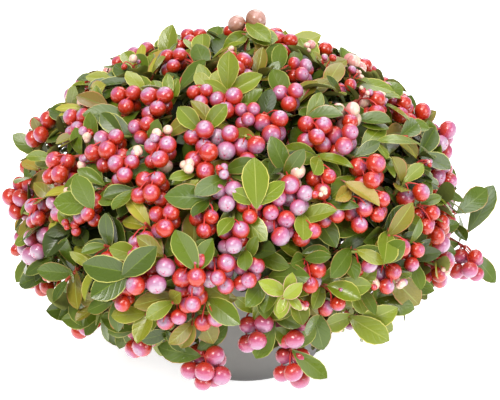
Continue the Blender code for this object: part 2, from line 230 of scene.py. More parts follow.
def makeHeightBand():
    # a mask that fades in between two heights, with a ragged edge
    group, given = newGroup("heightBand", Low=0.0, High=0.02, Ragged=0.004, Scale=90.0)
    spot = addNode(group, "TexCoord").outputs["Object"]
    level = addNode(group, "SeparateXYZ", {0: spot}).outputs["Z"]
    waver = mathNode(group, "SUBTRACT", noiseNode(group, given["Scale"], 4.0), 0.5)
    height = mathNode(group, "ADD", level, mathNode(group, "MULTIPLY", waver, given["Ragged"]))
    endGroup(group, "Mask", rangeNode(group, height, given["Low"], given["High"], 0.0, 1.0, "SMOOTHSTEP"))


for makeGroup in (makeUnevenShine, makeFineRelief, makeLeafVeins, makeTwoTone, makeHeightBand):
    makeGroup()


def addGroup(tree, name, *values):
    node = addNode(tree, "Group", node_tree=bpy.data.node_groups[name])
    for socket, value in zip(node.inputs, values):
        socket.default_value = value
    return node.outputs[0]


# Finishes. The colours of leaves, berries and bark are plain, and each spray is dealt its own

surfaces = {
    # shine is scale, smoothest and roughest, and relief is a node group's name with its values.
    # tones are two colours that lie in patches, with their scale, balance and softness
    "blade": {
        "shine": (90, 0.22, 0.36),
        "relief": ("leafVeins", 6, 0.34, 0.2, 0.0003),
        "coat": 0.16,
        "specular": 0.4,
    },
    "underside": {"shine": (90, 0.5, 0.65), "relief": ("leafVeins", 6, 0.34, 0.2, 0.0003), "specular": 0.4},
    "trim": {
        "shine": (90, 0.22, 0.36),
        "relief": ("fineRelief", 900, 0.25, 0.0001),
        "coat": 0.16,
        "specular": 0.4,
    },
    "berry": {"shine": (260, 0.17, 0.32), "relief": ("fineRelief", 1500, 0.16, 0.0001), "coat": 0.5},
    "twig": {"shine": (300, 0.5, 0.6), "relief": ("fineRelief", 700, 0.6, 0.0002)},
    "bark": {
        "shine": (300, 0.5, 0.8),
        "relief": ("fineRelief", 700, 0.6, 0.0004),
        "tones": ("#5d3527", "#8a5a42", 160),
    },
    "pot": {
        "shine": (70, 0.42, 0.55),
        "relief": ("fineRelief", 1400, 0.25, 0.0001),
        "tones": ("#777672", "#716f6c", 35, 0.5, 0.3),
    },
    "soil": {
        "shine": (500, 0.8, 1.0),
        "relief": ("fineRelief", 900, 0.9, 0.0008),
        "roughness": 0.95,
        "specular": 0.2,
        "tones": ("#2b1d16", "#4c3526", 420, 0.5, 0.12),
    },
    "floor": {"tones": ("#fcfcfb", "#f8f8f7", 3), "roughness": 0.9, "specular": 0.1},
}
coatRoughness = 0.12
leafColours = {
    "blade": {
        "deep": "#38461a", "dark": "#435517", "darkMid": "#4e6218", "mid": "#596c1a", "midFresh": "#6b7b1d",
        "fresh": "#758223", "bright": "#848a27", "limeGreen": "#8f9c33", "lime": "#9e9c31",
        "olive": "#7b7425", "straw": "#9b8634", "bronze": "#75622a",
    },
    "trim": {
        "edgePale": "#a8a857", "edgeLime": "#beb75e", "edgeRed": "#b0774c", "edgeBrown": "#9c8148",
        "edgeRosy": "#d6a494", "rib": "#667632", "ribPale": "#909847", "stalk": "#a34f38",
    },
    "underside": {"under": "#8c9350", "underDark": "#667136"},
}
berryColours = {
    "dimple": "#96324f", "star": "#c67896", "starLine": "#bb7295",
    "cream": "#e3c8ae", "creamPink": "#dfb3a6", "creamRose": "#d38f8c",
    "rustPale": "#b98f84", "rust": "#ad8072", "rustMid": "#9f705a", "rustDark": "#8e6047",
}
berryRamp = {
    # what a berry's colour runs through from its apex to its stalk. Its pale end is the berry's own pink
    # where the stalk is behind, and painted sheen where the stalk is at the apex
    "steps": 22,
    "keys": (
        (0.0, "#b39cac"), (0.15, "#af88a2"), (0.32, "#b1658b"), (0.48, "#b24864"),
        (0.64, "#b53a36"), (0.80, "#bb2e19"), (1.0, "#ae2b0f"),
    ),
}
barkColours = {
    "twig": {"youngBark": "#a8442f", "greenTwig": "#8f9a4a", "pedicel": "#c5352f"},
    "bark": {"oldBark": "#5d3527"},
}
finishes = {}


def rampColour(share):
    keys = berryRamp["keys"]
    for (low, first), (high, second) in zip(keys, keys[1:]):
        if share <= high:
            mix = (share - low) / (high - low)
            pairs = [(int(first[i : i + 2], 16), int(second[i : i + 2], 16)) for i in (1, 3, 5)]
            return "#" + "".join(f"{round(a + (b - a) * mix):02x}" for a, b in pairs)
    return keys[-1][1]


def newFinish(name, colour, surface):
    made = bpy.data.materials.new(name)
    made.use_nodes = True
    made.diffuse_color = paint(colour)
    tree, looks = made.node_tree, surfaces[surface]
    shader = tree.nodes["Principled BSDF"].inputs
    shader["Base Color"].default_value = paint(colour)
    shader["Roughness"].default_value = looks.get("roughness", 0.5)
    shader["Specular IOR Level"].default_value = looks.get("specular", 0.5)
    shader["Coat Weight"].default_value = looks.get("coat", 0.0)
    shader["Coat Roughness"].default_value = coatRoughness
    if "shine" in looks:
        tree.links.new(addGroup(tree, "unevenShine", *looks["shine"]), shader["Roughness"])
        tree.links.new(addGroup(tree, *looks["relief"]), shader["Normal"])
    if "tones" in looks:
        first, second, *values = looks["tones"]
        tones = addGroup(tree, "twoTone", paint(first), paint(second), *values)
        tree.links.new(tones, shader["Base Color"])
    finishes[name] = made
    return tree, shader


for step in range(berryRamp["steps"]):
    berryColours[f"ramp{step:02d}"] = rampColour(step / (berryRamp["steps"] - 1))
for kind, sets in (("leaf_", leafColours), ("berry_", {"berry": berryColours}), ("bark_", barkColours)):
    for surface, colours in sets.items():
        for name, colour in colours.items():
            newFinish(kind + name, colour, surface)
print("finishes:", len(finishes))


# Pieces from arrays


def makePiece(name, points, faceSets, finishNames, replaced, sharp=80, places=None):
    # faceSets is [(faces as an array of corner numbers, the number of each one's finish, or of all)].
    # edges over sharp degrees stay sharp, and places are where the corners lie on their leaf's blade
    mesh = bpy.data.meshes.new(name)
    corners = np.concatenate([faces.ravel() for faces, _ in faceSets]).astype(np.int32)
    sizes = np.concatenate([np.full(len(faces), faces.shape[1]) for faces, _ in faceSets])
    starts = np.concatenate([[0], np.cumsum(sizes)[:-1]]).astype(np.int32)
    kinds = np.concatenate([np.broadcast_to(kind, len(faces)) for faces, kind in faceSets]).astype(np.int32)
    mesh.vertices.add(len(points))
    mesh.vertices.foreach_set("co", np.ascontiguousarray(points, np.float32).ravel())
    mesh.loops.add(len(corners))
    mesh.loops.foreach_set("vertex_index", corners)
    mesh.polygons.add(len(sizes))
    mesh.polygons.foreach_set("loop_start", starts)
    mesh.polygons.foreach_set("material_index", kinds)
    if places is not None:
        layer = mesh.uv_layers.new(name="bladePlace")
        layer.data.foreach_set("uv", np.ascontiguousarray(places[corners], np.float32).ravel())
    mesh.update(calc_edges=True)
    mesh.validate()
    mesh.shade_smooth()
    mesh.set_sharp_from_angle(angle=math.radians(sharp))
    print(name, "triangles:", int((sizes - 2).sum()))
    return dressPiece(name, mesh, finishNames, replaced)


def dressPiece(name, mesh, finishNames, replaced):
    for finish in finishNames:
        mesh.materials.append(finishes[finish])
    piece = addObject(name, mesh)
    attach(piece, "root")
    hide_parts(*replaced)
    return piece


def unit(vectors):
    return vectors / np.maximum(np.linalg.norm(vectors, axis=-1, keepdims=True), 1e-12)


def sideways(ways):
    # a unit vector square to each way
    helper = np.where(np.abs(ways[:, 2:3]) < 0.8, [[0.0, 0.0, 1.0]], [[1.0, 0.0, 0.0]])
    return unit(np.cross(ways, helper))


def ringFaces(rings, sides):
    # quads between rings of corners that follow each other
    ring, side = np.meshgrid(np.arange(rings - 1) * sides, np.arange(sides), indexing="ij")
    after = (side + 1) % sides
    return np.stack([ring + side, ring + after, ring + sides + after, ring + sides + side], -1).reshape(-1, 4)


def poleFaces(rings, sides):
    # fans to the corner before the first ring and to the one after the last
    around = np.arange(sides)
    after = (around + 1) % sides
    last = 1 + (rings - 1) * sides
    start = np.stack([np.zeros(sides, int), 1 + around, 1 + after], -1)
    end = np.stack([np.full(sides, last + sides), last + after, last + around], -1)
    return np.concatenate([start, end])


def repeated(faces, copies, corners):
    # the faces of all copies of a shape with this many corners
    return (faces[None] + np.arange(copies)[:, None, None] * corners).reshape(-1, faces.shape[1])


def makeTubes(name, paths, radii, sides, finishNames, replaced, relief=0.0, kinds=None):
    # paths is (tubes, rings, 3), radii is (tubes, rings), and kinds has the number of each tube's finish
    paths, radii = np.array(paths), np.array(radii)
    count, rings = radii.shape
    ways = unit(np.gradient(paths, axis=1))
    first = sideways(unit(paths[:, -1] - paths[:, 0]))[:, None, :]
    first = unit(first - (first * ways).sum(-1, keepdims=True) * ways)
    second = np.cross(ways, first)
    turn = np.linspace(0, 2 * math.pi, sides, endpoint=False)
    reach = radii[:, :, None] * (1 + relief)
    points = (
        paths[:, :, None, :]
        + (reach * np.cos(turn))[..., None] * first[:, :, None, :]
        + (reach * np.sin(turn))[..., None] * second[:, :, None, :]
    )
    kinds = np.zeros(count, int) if kinds is None else np.array(kinds)
    quads = repeated(ringFaces(rings, sides), count, rings * sides)
    ends = np.stack([np.arange(sides)[::-1], (rings - 1) * sides + np.arange(sides)])
    caps = repeated(ends, count, rings * sides)
    faceSets = [(quads, np.repeat(kinds, len(quads) // count)), (caps, np.repeat(kinds, 2))]
    makePiece(name, points.reshape(-1, 3), faceSets, finishNames, replaced)


# The crown's rule, as the solids have it

crown = {
    "hub": Vector((-0.004, 0.0, 0.138)),
    "middle": Vector((-0.0070, 0.0, 0.095)),
    "radius": 0.1415,
    "rise": 0.112,
    "drop": 0.070,
    "squareness": 2.0,
    "lobes": ((2, 0.025, 15), (3, 0.025, 225), (5, 0.015, 250)),  # waves round, size, azimuth of a crest
    "hemHeight": 0.052,
    "hemWave": 0.007,
    "hemWaves": 4,
    "notchAzimuth": 270,
    "notchHalfWidth": 7.5,
    "notchLift": 0.034,
    "lowestWay": -0.72,
}
# how many masses, their elevation, and the azimuth of the first
massRings = (("hem", 9, -18, 10), ("shoulder", 7, 30, 13), ("top", 1, 90, 0))
shootRule = {
    # ways that are tried, share of the crown's reach where the tips stand, least distance between them
    "main": (2400, 0.91, 0.0352),
    "fine": (9000, 0.875, 0.0185),
    "inner": (3000, 0.68, 0.019),
    "foot": 0.60,  # where a main shoot starts, as a share of its mass's reach
    "roots": {"fine": (0.35, 0.6), "inner": (0.05, 0.25)},  # where on a main shoot the others start
    "leaning": 0.2,  # how much a tip follows its shoot, the way out of the crown, and the way up
    "outward": 0.5,
    "rising": 0.32,
}


def longShoot(spot, tone, *leaves, berries=0, hang=(0.0, -0.009, 0.0), sort=None, buds=0):
    return {
        "place": spot,
        "tone": tone,
        "leaves": leaves,
        "berries": berries,
        "hang": hang,
        "sort": sort,
        "buds": buds,
    }


# Shoots that show most: those that reach further than their neighbours, and the clearest leaves of the
# front. Each has its azimuth, height and distance from the hub, the tone of its leaves, and the leaves.
# A leaf is how far it points to the right, up and towards the viewer, as seen in the photo, its length,
# and how far back from the tip it stands. "hang" is where the berries' middle lies off the tip, in the
# same three ways
longShoots = {
    "rightHigh": longShoot(
        (1, 0.080, 0.145), "dark", (0.55, 0.83, 0.3, 0.0325, -0.001), (0.3, -0.4, 0.7, 0.018, 0.010),
    ),
    "rightUpper": longShoot(
        (1, 0.094, 0.136), "darkMid", (0.80, 0.60, -0.1, 0.0265, 0.0), (-0.1, 0.7, 0.6, 0.022, 0.006),
    ),
    "rightShoulder": longShoot(
        (5, 0.1415, 0.119), "mid", (-0.2, 0.8, 0.5, 0.018, 0.004), (0.4, -0.8, 0.4, 0.022, 0.006),
        berries=6, hang=(0.006, -0.002, 0.002), sort="pale",
    ),
    "rightTop": longShoot(
        (8, 0.1490, 0.109), "olive", (0.7, 0.6, 0.3, 0.018, 0.001), (-0.2, 0.8, 0.5, 0.020, 0.004),
        berries=4, hang=(0.003, 0.002, 0.003), sort="rosy",
    ),
    "topRight": longShoot(
        (57, 0.1850, 0.0520), "bright",
        (0.90, 0.42, 0.1, 0.026, 0.0), (0.15, 0.9, 0.4, 0.017, 0.003), (-0.5, 0.5, 0.6, 0.020, 0.006),
        berries=3,
    ),
    "topLeft": longShoot(
        (137, 0.1800, 0.0610), "fresh",
        (0.25, 0.95, 0.3, 0.024, 0.0), (0.70, 0.60, 0.4, 0.021, 0.003), (-0.8, 0.35, 0.5, 0.018, 0.005),
    ),
    "leftTop": longShoot(
        (175, 0.1600, 0.106), "fresh",
        (0.50, 0.84, 0.3, 0.023, 0.0), (0.1, 0.5, 0.8, 0.021, 0.003), (-0.8, 0.2, 0.5, 0.016, 0.006),
        berries=3, hang=(0.004, -0.009, 0.003),
    ),
    "rightLow": longShoot(
        (357, 0.074, 0.143), "darkMid", (0.60, -0.78, 0.1, 0.026, -0.004), (-0.90, -0.10, 0.6, 0.015, 0.004),
        berries=7, hang=(0.002, -0.0095, 0.004), sort="flushed",
    ),
    "leftHigh": longShoot(
        (179, 0.134, 0.120), "mid", (-0.75, 0.45, 0.3, 0.022, 0.0), (-0.3, 0.8, 0.4, 0.022, 0.004),
    ),
    "leftUpper": longShoot(
        (181, 0.150, 0.121), "olive", (0.75, 0.6, 0.3, 0.018, 0.002), (-0.2, 0.8, 0.5, 0.017, 0.004),
        berries=5, hang=(0.003, 0.005, 0.002), sort="rosy",
    ),
    "left": longShoot(
        (188, 0.076, 0.127), "mid", (-0.45, -0.85, 0.2, 0.022, 0.0), (0.2, 0.6, 0.7, 0.018, 0.006),
        berries=5, sort="rosy",
    ),
    "leftLow": longShoot(
        (214, 0.066, 0.111), "dark", (-0.8, 0.1, 0.5, 0.024, 0.0), (-0.7, -0.5, 0.4, 0.022, 0.004), berries=5,
    ),
    "leftFront": longShoot(
        (238, 0.072, 0.107), "mid",
        (-0.7, 0.1, 0.6, 0.024, 0.0), (-0.8, -0.3, 0.4, 0.023, 0.004), (0.3, 0.1, 0.8, 0.022, 0.006),
        berries=5,
    ),
    "rightFront": longShoot(
        (307, 0.073, 0.115), "fresh",
        (0.93, 0.35, 0.3, 0.025, 0.0), (0.97, 0.0, 0.3, 0.025, 0.003), (0.85, -0.45, 0.3, 0.025, 0.004),
        (-0.75, -0.3, 0.5, 0.022, 0.006), (-0.1, 0.5, 0.7, 0.018, 0.009),
    ),
    "frontLeft": longShoot(
        (259, 0.064, 0.112), "darkMid",
        (-0.95, 0.25, 0.3, 0.024, 0.0), (0.75, 0.55, 0.4, 0.022, 0.003), (-0.4, 0.5, 0.7, 0.020, 0.006),
        berries=9, hang=(0.002, -0.0090, 0.0), sort="flushed",
    ),
    "frontMiddle": longShoot(
        (275, 0.086, 0.109), "midFresh", (0.6, 0.6, 0.5, 0.018, 0.0), (-0.5, 0.4, 0.7, 0.020, 0.004),
        berries=5, sort="flushed",
    ),
    "frontNotch": longShoot(
        (281, 0.083, 0.109), "mid",
        (-0.50, -0.85, 0.3, 0.023, 0.0), (0.8, -0.4, 0.4, 0.020, 0.006), (0.2, 0.6, 0.7, 0.018, 0.004),
        berries=5, hang=(0.009, -0.005, 0.0), sort="flushed",
    ),
    "frontRight": longShoot(
        (287, 0.064, 0.112), "mid",
        (0.78, -0.60, 0.2, 0.025, 0.0), (0.5, 0.5, 0.5, 0.018, 0.004), (-0.5, 0.6, 0.6, 0.018, 0.006),
        berries=6, hang=(-0.001, -0.0085, 0.0), sort="flushed",
    ),
    "limeRosette": longShoot(
        (282, 0.1145, 0.131), "limeRosy",
        (0.15, 1.0, 0.35, 0.0135, 0.0), (0.85, 0.45, 0.5, 0.0135, 0.001), (0.75, -0.75, 0.4, 0.0125, 0.001),
        (-0.35, -0.9, 0.5, 0.0120, 0.002), (-0.95, 0.35, 0.4, 0.0165, 0.002), buds=5,
    ),
    "crest": longShoot(
        (75, 0.209, 0.026), "midFresh", (0.70, -0.50, 0.5, 0.021, 0.001), (-0.85, -0.50, 0.4, 0.019, 0.004),
        (0.95, 0.05, 0.3, 0.020, 0.006), (-0.35, -0.85, 0.5, 0.016, 0.006),
    ),
    "frontPair": longShoot(
        (260, 0.127, 0.123), "mid", (-0.56, 0.82, 0.35, 0.0245, 0.0), (0.45, 0.89, 0.4, 0.0215, 0.002),
    ),
    "frontDark": longShoot(
        (243, 0.122, 0.131), "dark",
        (0.81, 0.59, 0.35, 0.026, 0.0), (-0.93, 0.37, 0.3, 0.027, 0.002), (-0.79, -0.62, 0.35, 0.027, 0.003),
    ),
    "upperPair": longShoot(
        (254, 0.184, 0.072), "midFresh", (-0.70, 0.70, 0.35, 0.0185, 0.0), (0.60, 0.80, 0.35, 0.0205, 0.002),
    ),
    "middleTall": longShoot(
        (276, 0.155, 0.102), "midFresh",
        (0.05, 1.0, 0.3, 0.027, 0.0), (0.88, 0.47, 0.35, 0.021, 0.002), (-0.97, 0.2, 0.4, 0.016, 0.003),
    ),
    "leftTriple": longShoot(
        (228, 0.148, 0.119), "mid", (-0.49, 0.87, 0.35, 0.022, 0.0), (-1.0, 0.14, 0.3, 0.023, 0.002),
    ),
    "upperRight": longShoot(
        (288, 0.165, 0.092), "darkMid", (-0.45, 0.89, 0.35, 0.0235, 0.0), (0.70, 0.65, 0.4, 0.021, 0.003),
    ),
    "crownFront": longShoot(
        (262, 0.196, 0.04), "fresh",
        (0.05, 1.0, 0.4, 0.0225, 0.0), (0.85, 0.52, 0.4, 0.0215, 0.002), (-0.87, 0.3, 0.4, 0.0165, 0.003),
    ),
}
# The other clusters on the front: azimuth and elevation as seen from the hub, and how many berries
frontClusters = (
    (180, 57, 5), (345, 56, 6), (245, 49, 4), (263, 47, 4), (306, 47, 4), (276, 41, 5), (224, 39, 5),
    (347, 37, 2), (287, 35, 4), (206, 34, 4), (255, 29, 3), (264, 29, 4), (326, 29, 5), (228, 28, 3),
    (306, 28, 6), (274, 26, 3), (346, 25, 5), (258, 23, 3), (314, 23, 5), (242, 22, 6), (222, 18, 9),
    (288, 15, 4), (299, 13, 3), (244, 12, 7), (267, 12, 4), (316, 11, 5), (281, 9, 4), (289, 9, 4),
    (274, 8, 4), (209, 7, 7), (250, 5, 5), (261, 5, 4), (227, 3, 6), (283, 3, 4), (298, 3, 2),
    (313, 3, 4), (307, 2, 3), (269, 1, 5), (328, 1, 2), (245, 0, 2), (290, 0, 2), (207, -5, 5),
    (259, -6, 5), (330, -6, 4), (235, -7, 2), (250, -7, 3), (265, -7, 6), (245, -8, 4), (273, -8, 5),
    (315, -9, 2), (290, -11, 4), (305, -11, 2), (210, -12, 5), (259, -12, 5), (321, -12, 3),
    (242, -13, 4), (312, -15, 3), (254, -18, 2), (263, -19, 2), (296, -20, 2),
)
frontRule = {
    "place": 0.91,  # share of the crown's reach where the middle of a front cluster lies
    "above": 0.0080,  # how far above it, and how far inside it, its shoot's tip stands
    "inside": 0.0055,
    "facing": 0.05,  # what counts as front, as the cosine between a shoot's way and the way to the viewer
    "bearing": 0.11,  # share of the other shoots at the front that bear a cluster
}
hub = crown["hub"]


def seenFrom(start, right, high, near):
    # the point this far to the right, up and towards the viewer from start, as seen in the photo
    return start + seenRight * right + seenUp * high + seenNear * near


def crownRadius(azimuth):
    share = 1.0
    for waves, size, crest in crown["lobes"]:
        share += size * math.cos(waves * (azimuth - math.radians(crest)))
    return crown["radius"] * share


def insideCrown(point):
    off = point - crown["middle"]
    wide = math.hypot(off.x, off.y) / crownRadius(math.atan2(off.y, off.x))
    high = abs(off.z) / (crown["rise"] if off.z > 0 else crown["drop"])
    return wide ** crown["squareness"] + high ** crown["squareness"] < 1


def crownReach(way):
    near, far = 0.0, 0.3
    for _ in range(20):
        middle = (near + far) / 2
        if insideCrown(hub + way * middle):
            near = middle
        else:
            far = middle
    return near


def hemHeight(azimuth):
    off = (azimuth - crown["notchAzimuth"] + 180) % 360 - 180
    lift = crown["notchLift"] * math.exp(-((off / crown["notchHalfWidth"]) ** 2))
    return crown["hemHeight"] + crown["hemWave"] * math.cos(crown["hemWaves"] * math.radians(azimuth)) + lift


def direction(azimuth, elevation):
    a, e = math.radians(azimuth), math.radians(elevation)
    return Vector((math.cos(a) * math.cos(e), math.sin(a) * math.cos(e), math.sin(e)))


def spiralPoint(i, count):
    # one of this many points that are spread evenly on a ball
    height = 1 - (2 * i + 1) / count
    level = math.sqrt(1 - height * height)
    return Vector((level * math.cos(goldenAngle * i), level * math.sin(goldenAngle * i), height))


def cellOf(point, size):
    return tuple(int(c // size) for c in point)


def nearCell(cells, cell):
    # what lies in this cell and in the 26 round it
    for step in itertools.product((-1, 0, 1), repeat=3):
        yield from cells.get(tuple(c + s for c, s in zip(cell, step)), ())


def spreadTips(count, share, spacing, given):
    # tips spread evenly over the crown at this share of its reach, clear of each other and of the given tips
    cells = {}
    for tip in given:
        cells.setdefault(cellOf(tip, spacing), []).append(tip)
    found = []
    for i in range(count):
        way = spiralPoint(i, count)
        if way.z < crown["lowestWay"]:
            break
        reach = crownReach(way)
        tip = hub + way * reach * share
        if (hub + way * reach).z <= hemHeight(math.degrees(math.atan2(way.y, way.x))):
            continue
        cell = cellOf(tip, spacing)
        if all((tip - other).length > spacing for other in nearCell(cells, cell)):
            cells.setdefault(cell, []).append(tip)
            found.append(tip)
    return found


masses = []
for ringName, massCount, elevation, firstAzimuth in massRings:
    for i in range(massCount):
        way = direction(firstAzimuth + 360 * i / massCount, elevation)
        masses.append({"ring": ringName, "number": i + 1, "way": way, "reach": crownReach(way)})


def nearestMass(tip):
    way = (tip - hub).normalized()
    return max(masses, key=lambda mass: mass["way"].dot(way))


rng = random.Random(23)


def pick(shares):
    # one of the names, by its share
    return rng.choices(list(shares), list(shares.values()))[0]


def stray():
    return Vector((rng.gauss(0, 1), rng.gauss(0, 1), rng.gauss(0, 1)))


def newShoot(tip, kind, root, mass, own=None, cluster=None):
    lean = (tip - root).normalized()
    outward = (tip - hub).normalized()
    rising = up * shootRule["rising"] * (1 + outward.z)
    axis = (lean * shootRule["leaning"] + outward * shootRule["outward"] + rising).normalized()
    return {
        "tip": tip,
        "own": own,  # what a long shoot is given, None on the others
        "cluster": cluster,  # the middle of a front cluster and how many berries it has, None on the others
        "kind": kind,
        "root": root,
        "mass": mass,
        "ring": mass["ring"],
        "lean": lean,
        "outward": outward,
        "axis": axis,
        "side": axis.orthogonal().normalized(),
        "turn": rng.uniform(0, 2 * math.pi),
    }


def growShoots():
    placed, given = [], []
    for own in longShoots.values():
        azimuth, height, out = own["place"]
        a = math.radians(azimuth)
        placed.append(Vector((hub.x + out * math.cos(a), hub.y + out * math.sin(a), height)))
        given.append((own, None))
    for azimuth, elevation, count in frontClusters:
        way = direction(azimuth, elevation)
        middle = hub + way * crownReach(way) * frontRule["place"]
        upward = (up - way * way.z).normalized()
        placed.append(middle + upward * frontRule["above"] - way * frontRule["inside"])
        given.append((None, (middle, count)))
    mainTips = placed + spreadTips(*shootRule["main"], placed)
    given += [(None, None)] * (len(mainTips) - len(placed))
    mains = []
    for tip, (own, cluster) in zip(mainTips, given):
        mass = nearestMass(tip)
        foot = hub + mass["way"] * mass["reach"] * shootRule["foot"]
        mains.append(newShoot(tip, "main", foot, mass, own, cluster))
    grown = list(mains)
    for kind, others in (("fine", mainTips), ("inner", [])):
        for tip in spreadTips(*shootRule[kind], others):
            mass = nearestMass(tip)
            parents = [shoot for shoot in mains if shoot["mass"] is mass] or mains
            parent = min(parents, key=lambda shoot: (shoot["tip"] - tip).length)
            root = parent["root"].lerp(parent["tip"], rng.uniform(*shootRule["roots"][kind]))
            grown.append(newShoot(tip, kind, root, mass))
    return grown


shoots = growShoots()
outerShoots = [shoot for shoot in shoots if shoot["kind"] != "inner"]
crestShoot = next(shoot for shoot in shoots if shoot["own"] is longShoots["crest"])
print("shoots:", len(shoots), "outer:", len(outerShoots))

pot = {
    "height": 0.105,
    "topRadius": 0.065,
    "footRadius": 0.050,
    "wall": 0.0018,
    "floor": 0.0025,
    "rimWidth": 0.0028,
    "rimDepth": 0.009,
    "rimSlope": 0.001,  # how far the rim's underside falls towards the wall
    # of the corners, from the inner floor over the rim to the foot
    "rounding": (0.0015, 0.0006, 0.0009, 0.0006, 0.0004, 0.0042),
    "sides": 128,
    "drainHoles": 6,
    "drainRadius": 0.0035,
    "drainCircle": 0.034,
    "drainDepth": 0.01,
    "drainSides": 32,
    "soilBelowRim": 0.008,
    "soilMound": 0.003,
}


def potRadius(height):
    return pot["footRadius"] + (pot["topRadius"] - pot["footRadius"]) * height / pot["height"]


def insidePot(point, clearance):
    if point[2] > pot["height"] + clearance or point[2] < 0:
        return False
    return math.hypot(point[0], point[1]) < potRadius(point[2]) + pot["rimWidth"] + clearance


# Berries hang in clusters from the shoots

clusterRule = {
    "bearing": 0.575,  # share of the shoots that bear a cluster
    "evenness": (0.032, 2.0),  # how far off other clusters count against a new one, and how much
    "counts": {2: 0.06, 3: 0.10, 4: 0.17, 5: 0.20, 6: 0.17, 7: 0.14, 9: 0.10, 11: 0.06},
    "back": (0.000, 0.004),  # how far down the shoot the cluster's stalks start
    "out": 0.0080,
    "rise": 0.0055,
    "sway": 0.002,  # how far a long shoot's cluster lies off its given place
    "tries": 10,
    "turn": 0.63,  # how far round the shoot the next try is
    "clearance": 0.008,  # between a cluster's middle and the pot
    "radius": (0.0042, 0.0055),
    "uneven": (0.9, 1.1),  # how a cluster's berries differ in size
    "alike": 0.75,  # share of a cluster's berries that are of the same sort
    "creamSize": 0.85,
    "spread": (0.45, 0.09),  # how far from the middle a berry starts, in radii, and more for each berry
    "squeeze": 0.96,
    "rounds": 40,
    "push": 0.8,
    "homing": 0.02,  # how much of the way to where it started a berry goes back in each round
    "bringBack": 8,  # how often, in rounds, berries that have left the crown are brought back
    "highest": 0.96,  # share of the crown's reach that a berry's middle stays in
}
berrySorts = {
    # share of the berries, where on the ramp the pale and the dark side lie, between which angles the
    # colour turns, and whether the stalk is at the pale side, which then faces up and out as painted sheen
    "ripe": (0.34, 0.10, 1.0, 14, 92, True),
    "red": (0.26, 0.30, 1.0, 6, 76, True),
    "rosy": (0.23, 0.12, 0.96, 16, 106, False),
    "pale": (0.125, 0.0, 0.66, 30, 138, False),
    "cream": (0.045, 0.0, 0.0, 0, 1, False),
    "rust": (0.0, 0.5, 1.0, 0, 1, False),
    "flushed": (0.0, 0.20, 0.80, 30, 132, False),
}
bandedSorts = {
    # tones from the apex to the stalk, the angle at which they start, and how many degrees each one takes
    "cream": (("creamPink", "cream", "cream", "creamPink", "creamRose", "creamRose"), 0, 22),
    "rust": (("rustPale", "rust", "rustMid", "rustDark"), 25, 35),
}
sortShares = {sort: values[0] for sort, values in berrySorts.items()}
crestFruits = ((-0.0073, 0.0, 0.0026, 0.0057), (0.0040, 0.0, 0.0052, 0.0067))  # off the tip, and their radius
budRule = {
    "share": 0.20,  # of the shoots that aren't long
    "count": (3, 6),
    "radius": (0.0011, 0.0030),
    "reach": (0.0055, 0.0095),
    "stalk": 0.001,  # how far over the shoot's tip their stalks start
    "turn": (0, 6.28),  # which way round the shoot they lean
    "lean": 0.8,
    "stray": 0.45,
    "sorts": ("cream", "cream", "pale", "red"),
    "rosette": {"stray": 0.7, "reach": (0.0015, 0.0035), "radius": (0.0007, 0.0011)},
}


def berryTones(sort, angles):
    # the tone of each band of the berry, from the star at the apex back to the stalk
    if sort in bandedSorts:
        parts, start, step = bandedSorts[sort]
        tones = [parts[min(len(parts) - 1, max(0, int((angle - start) / step)))] for angle in angles]
    else:
        _, first, last, start, end, _ = berrySorts[sort]
        shares = [min(1, max(0, (angle - start) / (end - start))) for angle in angles]
        tones = [f"ramp{round((first + (last - first) * s) * (berryRamp['steps'] - 1)):02d}" for s in shares]
    if sort == "cream":
        tones[0] = "creamRose"
    starred = sort in ("rosy", "pale")
    if starred:
        tones[0], tones[1] = "dimple", "star"
    return tones + ["starLine" if starred else tones[2]]  # the last one is for the star's five lines


def bearsCluster(shoot, decided):
    # fewer clusters where the shoots around already have many
    reach, weight = clusterRule["evenness"]
    near = [bears for tip, bears in decided if (tip - shoot["tip"]).length < reach]
    share = sum(near) / len(near) if near else clusterRule["bearing"]
    wanted = clusterRule["bearing"] + (clusterRule["bearing"] - share) * weight
    if shoot["outward"].dot(seenNear) > frontRule["facing"]:
        wanted = frontRule["bearing"]
    return rng.random() < wanted


def clusterMiddle(shoot, stalk, middles):
    # where the cluster has most room, or None
    if shoot["cluster"]:
        return shoot["cluster"][0]
    best, bestRoom = None, -1
    for attempt in range(clusterRule["tries"]):
        around = shoot["turn"] + clusterRule["turn"] * attempt
        out = Matrix.Rotation(around, 3, shoot["axis"]) @ shoot["side"]
        middle = stalk + out * clusterRule["out"] + shoot["outward"] * clusterRule["rise"]
        if shoot["own"]:
            middle = seenFrom(shoot["tip"], *shoot["own"]["hang"]) + out * clusterRule["sway"]
        if insidePot(middle, clusterRule["clearance"]):
            continue
        room = min(((middle - other).length for other in middles), default=1)
        if room > bestRoom:
            best, bestRoom = middle, room
    return best


